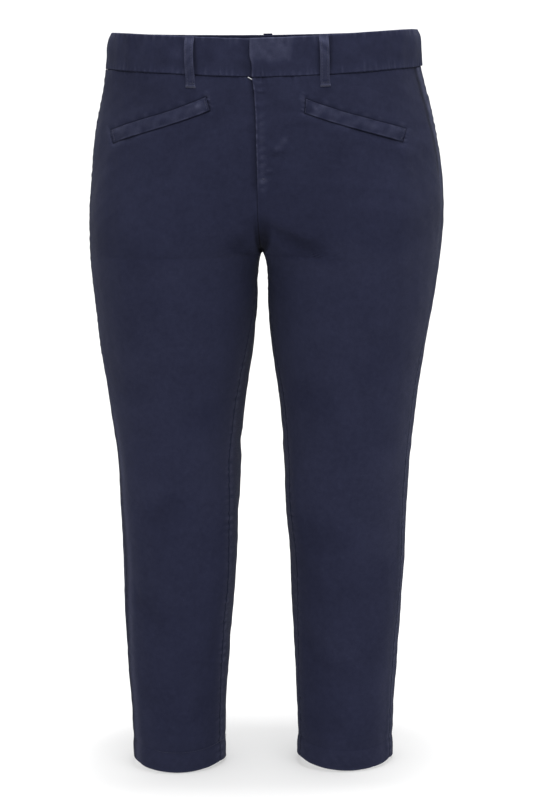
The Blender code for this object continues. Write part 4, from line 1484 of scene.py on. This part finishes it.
def loop_seams():
    """Two rows up each belt loop and a tack across its foot."""
    seams = []
    width = setting("loop_width")
    foot, top = LOOP_ROWS[0][0], LOOP_ROWS[-1][0]
    for _, half, foot_x, top_x, taller, mirror in LOOPS:
        stretch = loop_stretch(half, taller)
        rise = np.linspace(foot + 0.002, top - 0.001, 60)
        middle = loop_middle(half, foot_x, top_x, (rise - foot) / (top - foot))[:, None]
        clear = (loop_clearance(rise) + THREAD_CLEARS)[:, None]
        for side in (-1, 1):
            across = np.array([side * (width / 2 - LOOP_SEAM_IN)])
            face, out = loop_face(half, middle, across, (rise * stretch)[:, None])
            seams.append((face[:, 0] + out[:, 0] * clear, out[:, 0], mirror))
        for at, rows, wider in LOOP_TACKS:
            middle = loop_middle(half, foot_x, top_x, (at - foot) / (top - foot))
            face, out = loop_face(half, middle, np.array([0.0, 0.001]), np.array([[at * stretch]]))
            side = unit(face[0, 1] - face[0, 0])
            spot = face[0, 0] + out[0, 0] * (float(loop_clearance(at)) + LOOP_THICKNESS)
            seams += bar_tack(spot, side, out[0, 0], width + wider, rows, mirror)
    return seams


def zip_chain(made_of, thread_material):
    """The closed zip behind the fly: a woven tape with its coil of teeth."""
    drop = np.linspace(*TAPE_DROPS, 60)
    v = row_at(drop)
    x = np.linspace(*TAPE_X, 15)
    s = np.array([s_of("front", x, here) for here in v])
    points = surface("front", v[:, None], s)
    out = surface_normals("front", v[:, None], s)
    behind = -TAPE_BEHIND - 0.0002 * bump(x - 0.003, 0.004) + 0 * s
    outer = points + out * behind[..., None]
    inner = points + out * (behind - TAPE_THICKNESS)[..., None]
    cloth = np.stack([x + 0 * s, -drop[:, None] + 0 * s], -1)
    tape = sheet_of("zip_tape_woven", outer, inner, made_of, False, 0 * s, cloth)
    put(tape, "zip_tape", slot="tape")
    seams = []
    for k in range(TEETH):
        here = row_at(FIRST_TOOTH + k * TOOTH_PITCH)
        across = np.array([s_of("front", x, here) for x in TOOTH_X])
        seams.append((*panel_seam("front", here, across, -TEETH_BEHIND, False), TOOTH_LENGTH, 0.0))
    stitches("zip_teeth", seams, thread_material, slot="tape")
    return tape


def zip_pull(made_of):
    """The slider: two wings with a neck between them, and a slim pull tab turned up past the fly's edge."""
    v = row_at(SLIDER_DROP)
    around = s_of("front", SLIDER_X, v) + np.array([-NUDGE, 0, NUDGE])
    points = surface("front", v, around)
    out = Vector(surface_normals("front", v, around)[1])
    side = Vector(points[2] - points[0]).normalized()
    up = out.cross(side)
    axes = Matrix((side, up, out)).transposed().to_4x4()
    axes.translation = Vector(leaned(points[1], False))
    mesh = bmesh.new()
    for centre, size, turn in SLIDER_PLATES:
        place = axes @ Matrix.Translation(centre) @ Matrix.Rotation(math.radians(turn), 4, "Z")
        plate = bmesh.ops.create_cube(mesh, matrix=place @ Matrix.Diagonal((*size, 1)))["verts"]
        edges = list({edge for point in plate for edge in point.link_edges})
        round_by = min(size) * PLATE_ROUND
        bmesh.ops.bevel(mesh, geom=edges, offset=round_by, segments=3, affect="EDGES", profile=0.5)
    made = bpy.data.meshes.new("zip_slider_detailed")
    mesh.to_mesh(made)
    mesh.free()
    made.shade_smooth()
    made.materials.append(made_of)
    slider = bpy.data.objects.new("zip_slider_detailed", made)
    bpy.context.scene.collection.objects.link(slider)
    return put(slider, "zip_slider", slot="steel")


def add_soft_light(name, place, target, size, power):
    """A rectangular lamp that faces the target."""
    light = bpy.data.lights.new(name, "AREA")
    light.shape = "RECTANGLE"
    light.size, light.size_y = size
    light.energy = power
    thing = bpy.data.objects.new(name, light)
    bpy.context.scene.collection.objects.link(thing)
    thing.location = place
    thing.rotation_euler = (Vector(target) - Vector(place)).to_track_quat("-Z", "Y").to_euler()


def lay_floor():
    """A pale paper floor that sweeps up to a wall behind."""
    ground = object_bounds()[0][2] + FLOOR_RISE
    turns = np.linspace(0.06, math.pi / 2, 24)
    profile = [(-FLOOR_REACH, 0.0), (FLOOR_BACK, 0.0)]
    profile += [(FLOOR_BACK + SWEEP * math.sin(turn), SWEEP * (1 - math.cos(turn))) for turn in turns]
    profile += [(FLOOR_BACK + SWEEP, WALL_TOP)]
    points = [(x, y, ground + z + FLOOR_TILT * x) for y, z in profile for x in (-FLOOR_REACH, FLOOR_REACH)]
    faces = [(2 * i, 2 * i + 1, 2 * i + 3, 2 * i + 2) for i in range(len(profile) - 1)]
    mesh = bpy.data.meshes.new("pale_floor")
    mesh.from_pydata(points, [], faces)
    mesh.shade_smooth()
    floor = bpy.data.objects.new("pale_floor", mesh)
    bpy.context.scene.collection.objects.link(floor)
    paper = Shader("pale_paper")
    paper.surface(Base_Color=(PAPER, PAPER, PAPER, 1), Roughness=0.9)
    paper.surface(Emission_Color=(1, 1, 1, 1), Emission_Strength=PAPER_GLOW)
    mesh.materials.append(paper.material)
    floor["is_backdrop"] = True


def fill_room():
    """An even, soft light from all round."""
    world = bpy.data.worlds.new("soft_room")
    world.use_nodes = True
    background = world.node_tree.nodes["Background"]
    background.inputs["Color"].default_value = (1, 1, 1, 1)
    background.inputs["Strength"].default_value = ROOM_LIGHT
    bpy.context.scene.world = world


def set_camera():
    """The camera in front, a little to the wearer's left."""
    camera = bpy.data.cameras.new("camera")
    camera.lens = CAMERA_LENS
    eye = bpy.data.objects.new("camera", camera)
    bpy.context.scene.collection.objects.link(eye)
    eye.location = (CAMERA_FAR * math.sin(CAMERA_TURN), -CAMERA_FAR * math.cos(CAMERA_TURN), CAMERA_HEIGHT)
    look = (Vector(CAMERA_FACES) - eye.location).to_track_quat("-Z", "Y").to_matrix()
    eye.rotation_euler = (look @ Matrix.Rotation(CAMERA_ROLL, 3, "Z")).to_euler()
    bpy.context.scene.camera = eye


class TrousersSettings(bpy.types.PropertyGroup):
    cloth_thickness: FloatProperty(
        name="Cloth thickness", description="Thickness of the twill", default=0.0010, unit="LENGTH"
    )
    band_thickness: FloatProperty(
        name="Band thickness",
        description="Thickness of the folded waistband",
        default=0.0024,
        unit="LENGTH",
    )
    loop_width: FloatProperty(
        name="Loop width", description="Width of a belt loop", default=0.0113, unit="LENGTH"
    )
    stitch_length: FloatProperty(
        name="Stitch length",
        description="Length of thread that shows in a stitch",
        default=0.0025,
        unit="LENGTH",
    )
    stitch_gap: FloatProperty(
        name="Stitch gap", description="Gap between two stitches", default=0.0007, unit="LENGTH"
    )
    thread_radius: FloatProperty(
        name="Thread radius", description="Radius of the sewing thread", default=0.00020, unit="LENGTH"
    )
    wale: FloatProperty(
        name="Wale",
        description="Distance between the twill's diagonal lines",
        default=0.0009,
        unit="LENGTH",
    )
    cloth_colour: FloatVectorProperty(
        name="Cloth",
        description="Colour of the twill",
        size=3,
        subtype="COLOR",
        default=(0.0199, 0.0223, 0.0468),
    )
    deep_colour: FloatVectorProperty(
        name="Deep dye",
        description="Colour where the dye took deepest",
        size=3,
        subtype="COLOR",
        default=(0.0124, 0.0140, 0.0308),
    )
    # Paler colour for rubbed edges and for painted highlights
    wear_and_highlight_colour: FloatVectorProperty(
        name="Worn",
        description="Colour of rubbed edges and of painted highlights",
        size=3,
        subtype="COLOR",
        default=(0.0600, 0.0640, 0.1050),
    )
    # Dark colour for seam lines and for painted shade and shadow
    shade_colour: FloatVectorProperty(
        name="Seam line and painted shade",
        description="Colour deep in the seams and of painted shade",
        size=3,
        subtype="COLOR",
        default=(0.0035, 0.0038, 0.0080),
    )
    thread_colour: FloatVectorProperty(
        name="Thread",
        description="Colour of the sewing thread",
        size=3,
        subtype="COLOR",
        default=(0.0220, 0.0240, 0.0500),
    )
    sheen_colour: FloatVectorProperty(
        name="Nap",
        description="Tint of the twill's fine nap",
        size=3,
        subtype="COLOR",
        default=(0.75, 0.80, 1.0),
    )


class MakePanels(bpy.types.Operator):
    """Makes the two fronts and the two backs"""

    bl_idname = "trousers.make_panels"
    bl_label = "Panels"

    def execute(self, context):
        for side, mirror in SIDES:
            for half in ("front", "back"):
                panel(f"{half}_{side}", half, mirror, shared(twill))
        return {"FINISHED"}


class MakeWaistband(bpy.types.Operator):
    """Makes the two halves of the waistband"""

    bl_idname = "trousers.make_waistband"
    bl_label = "Waistband"

    def execute(self, context):
        for side, mirror in SIDES:
            waistband(f"waistband_{side}", mirror, shared(twill))
        return {"FINISHED"}


class MakeWelts(bpy.types.Operator):
    """Makes the welts of the two front pockets"""

    bl_idname = "trousers.make_welts"
    bl_label = "Pocket welts"

    def execute(self, context):
        for side, mirror in SIDES:
            welt(f"pocket_welt_{side}", mirror, shared(twill))
        return {"FINISHED"}


class MakeBeltLoops(bpy.types.Operator):
    """Makes the five belt loops"""

    bl_idname = "trousers.make_belt_loops"
    bl_label = "Belt loops"

    def execute(self, context):
        for name, *where in LOOPS:
            belt_loop(name, *where, shared(twill))
        return {"FINISHED"}


class MakeStitching(bpy.types.Operator):
    """Sews the rows of thread that show"""

    bl_idname = "trousers.make_stitching"
    bl_label = "Stitching"

    def execute(self, context):
        stitches("stitching_hems", hem_seams(), shared(thread))
        stitches("stitching_fly", fly_seams(), shared(thread))
        stitches("stitching_welts", welt_seams(), shared(thread))
        stitches("stitching_belt_loops", loop_seams(), shared(thread))
        return {"FINISHED"}


class MakeFastenings(bpy.types.Operator):
    """Makes the zip and finishes the metal pieces"""

    bl_idname = "trousers.make_fastenings"
    bl_label = "Zip, hook and bar"

    def execute(self, context):
        zip_chain(shared(woven_tape), shared(thread))
        zip_pull(shared(plated_steel))
        for node in ("waist_hook", "waist_bar"):
            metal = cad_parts[node]
            metal.data.materials.clear()
            metal.data.materials.append(shared(plated_steel))
        return {"FINISHED"}


class MakeStage(bpy.types.Operator):
    """Makes the pale floor, the soft lights and the camera"""

    bl_idname = "trousers.make_stage"
    bl_label = "Stage"

    def execute(self, context):
        context.scene.view_settings.view_transform = "Standard"
        lay_floor()
        fill_room()
        for light in LIGHTS:
            add_soft_light(*light)
        set_camera()
        return {"FINISHED"}


class TrousersPanel(bpy.types.Panel):
    """Lists the pieces and the settings"""

    bl_idname = "VIEW3D_PT_trousers"
    bl_label = "Skinny trousers"
    bl_space_type = "VIEW_3D"
    bl_region_type = "UI"
    bl_category = "Trousers"

    def draw(self, context):
        for name in TrousersSettings.__annotations__:
            self.layout.prop(context.scene.trousers, name)
        for operator in OPERATORS:
            self.layout.operator(operator.bl_idname)


OPERATORS = (MakePanels, MakeWaistband, MakeWelts, MakeBeltLoops, MakeFastenings, MakeStitching, MakeStage)
CLASSES = (TrousersSettings, *OPERATORS, TrousersPanel)


def register():
    for item in CLASSES:
        bpy.utils.register_class(item)
    bpy.types.Scene.trousers = PointerProperty(type=TrousersSettings)


def unregister():
    del bpy.types.Scene.trousers
    for item in reversed(CLASSES):
        bpy.utils.unregister_class(item)


def main():
    register()
    for operator in OPERATORS:
        group, name = operator.bl_idname.split(".")
        getattr(getattr(bpy.ops, group), name)()


if __name__ == "__main__":
    main()
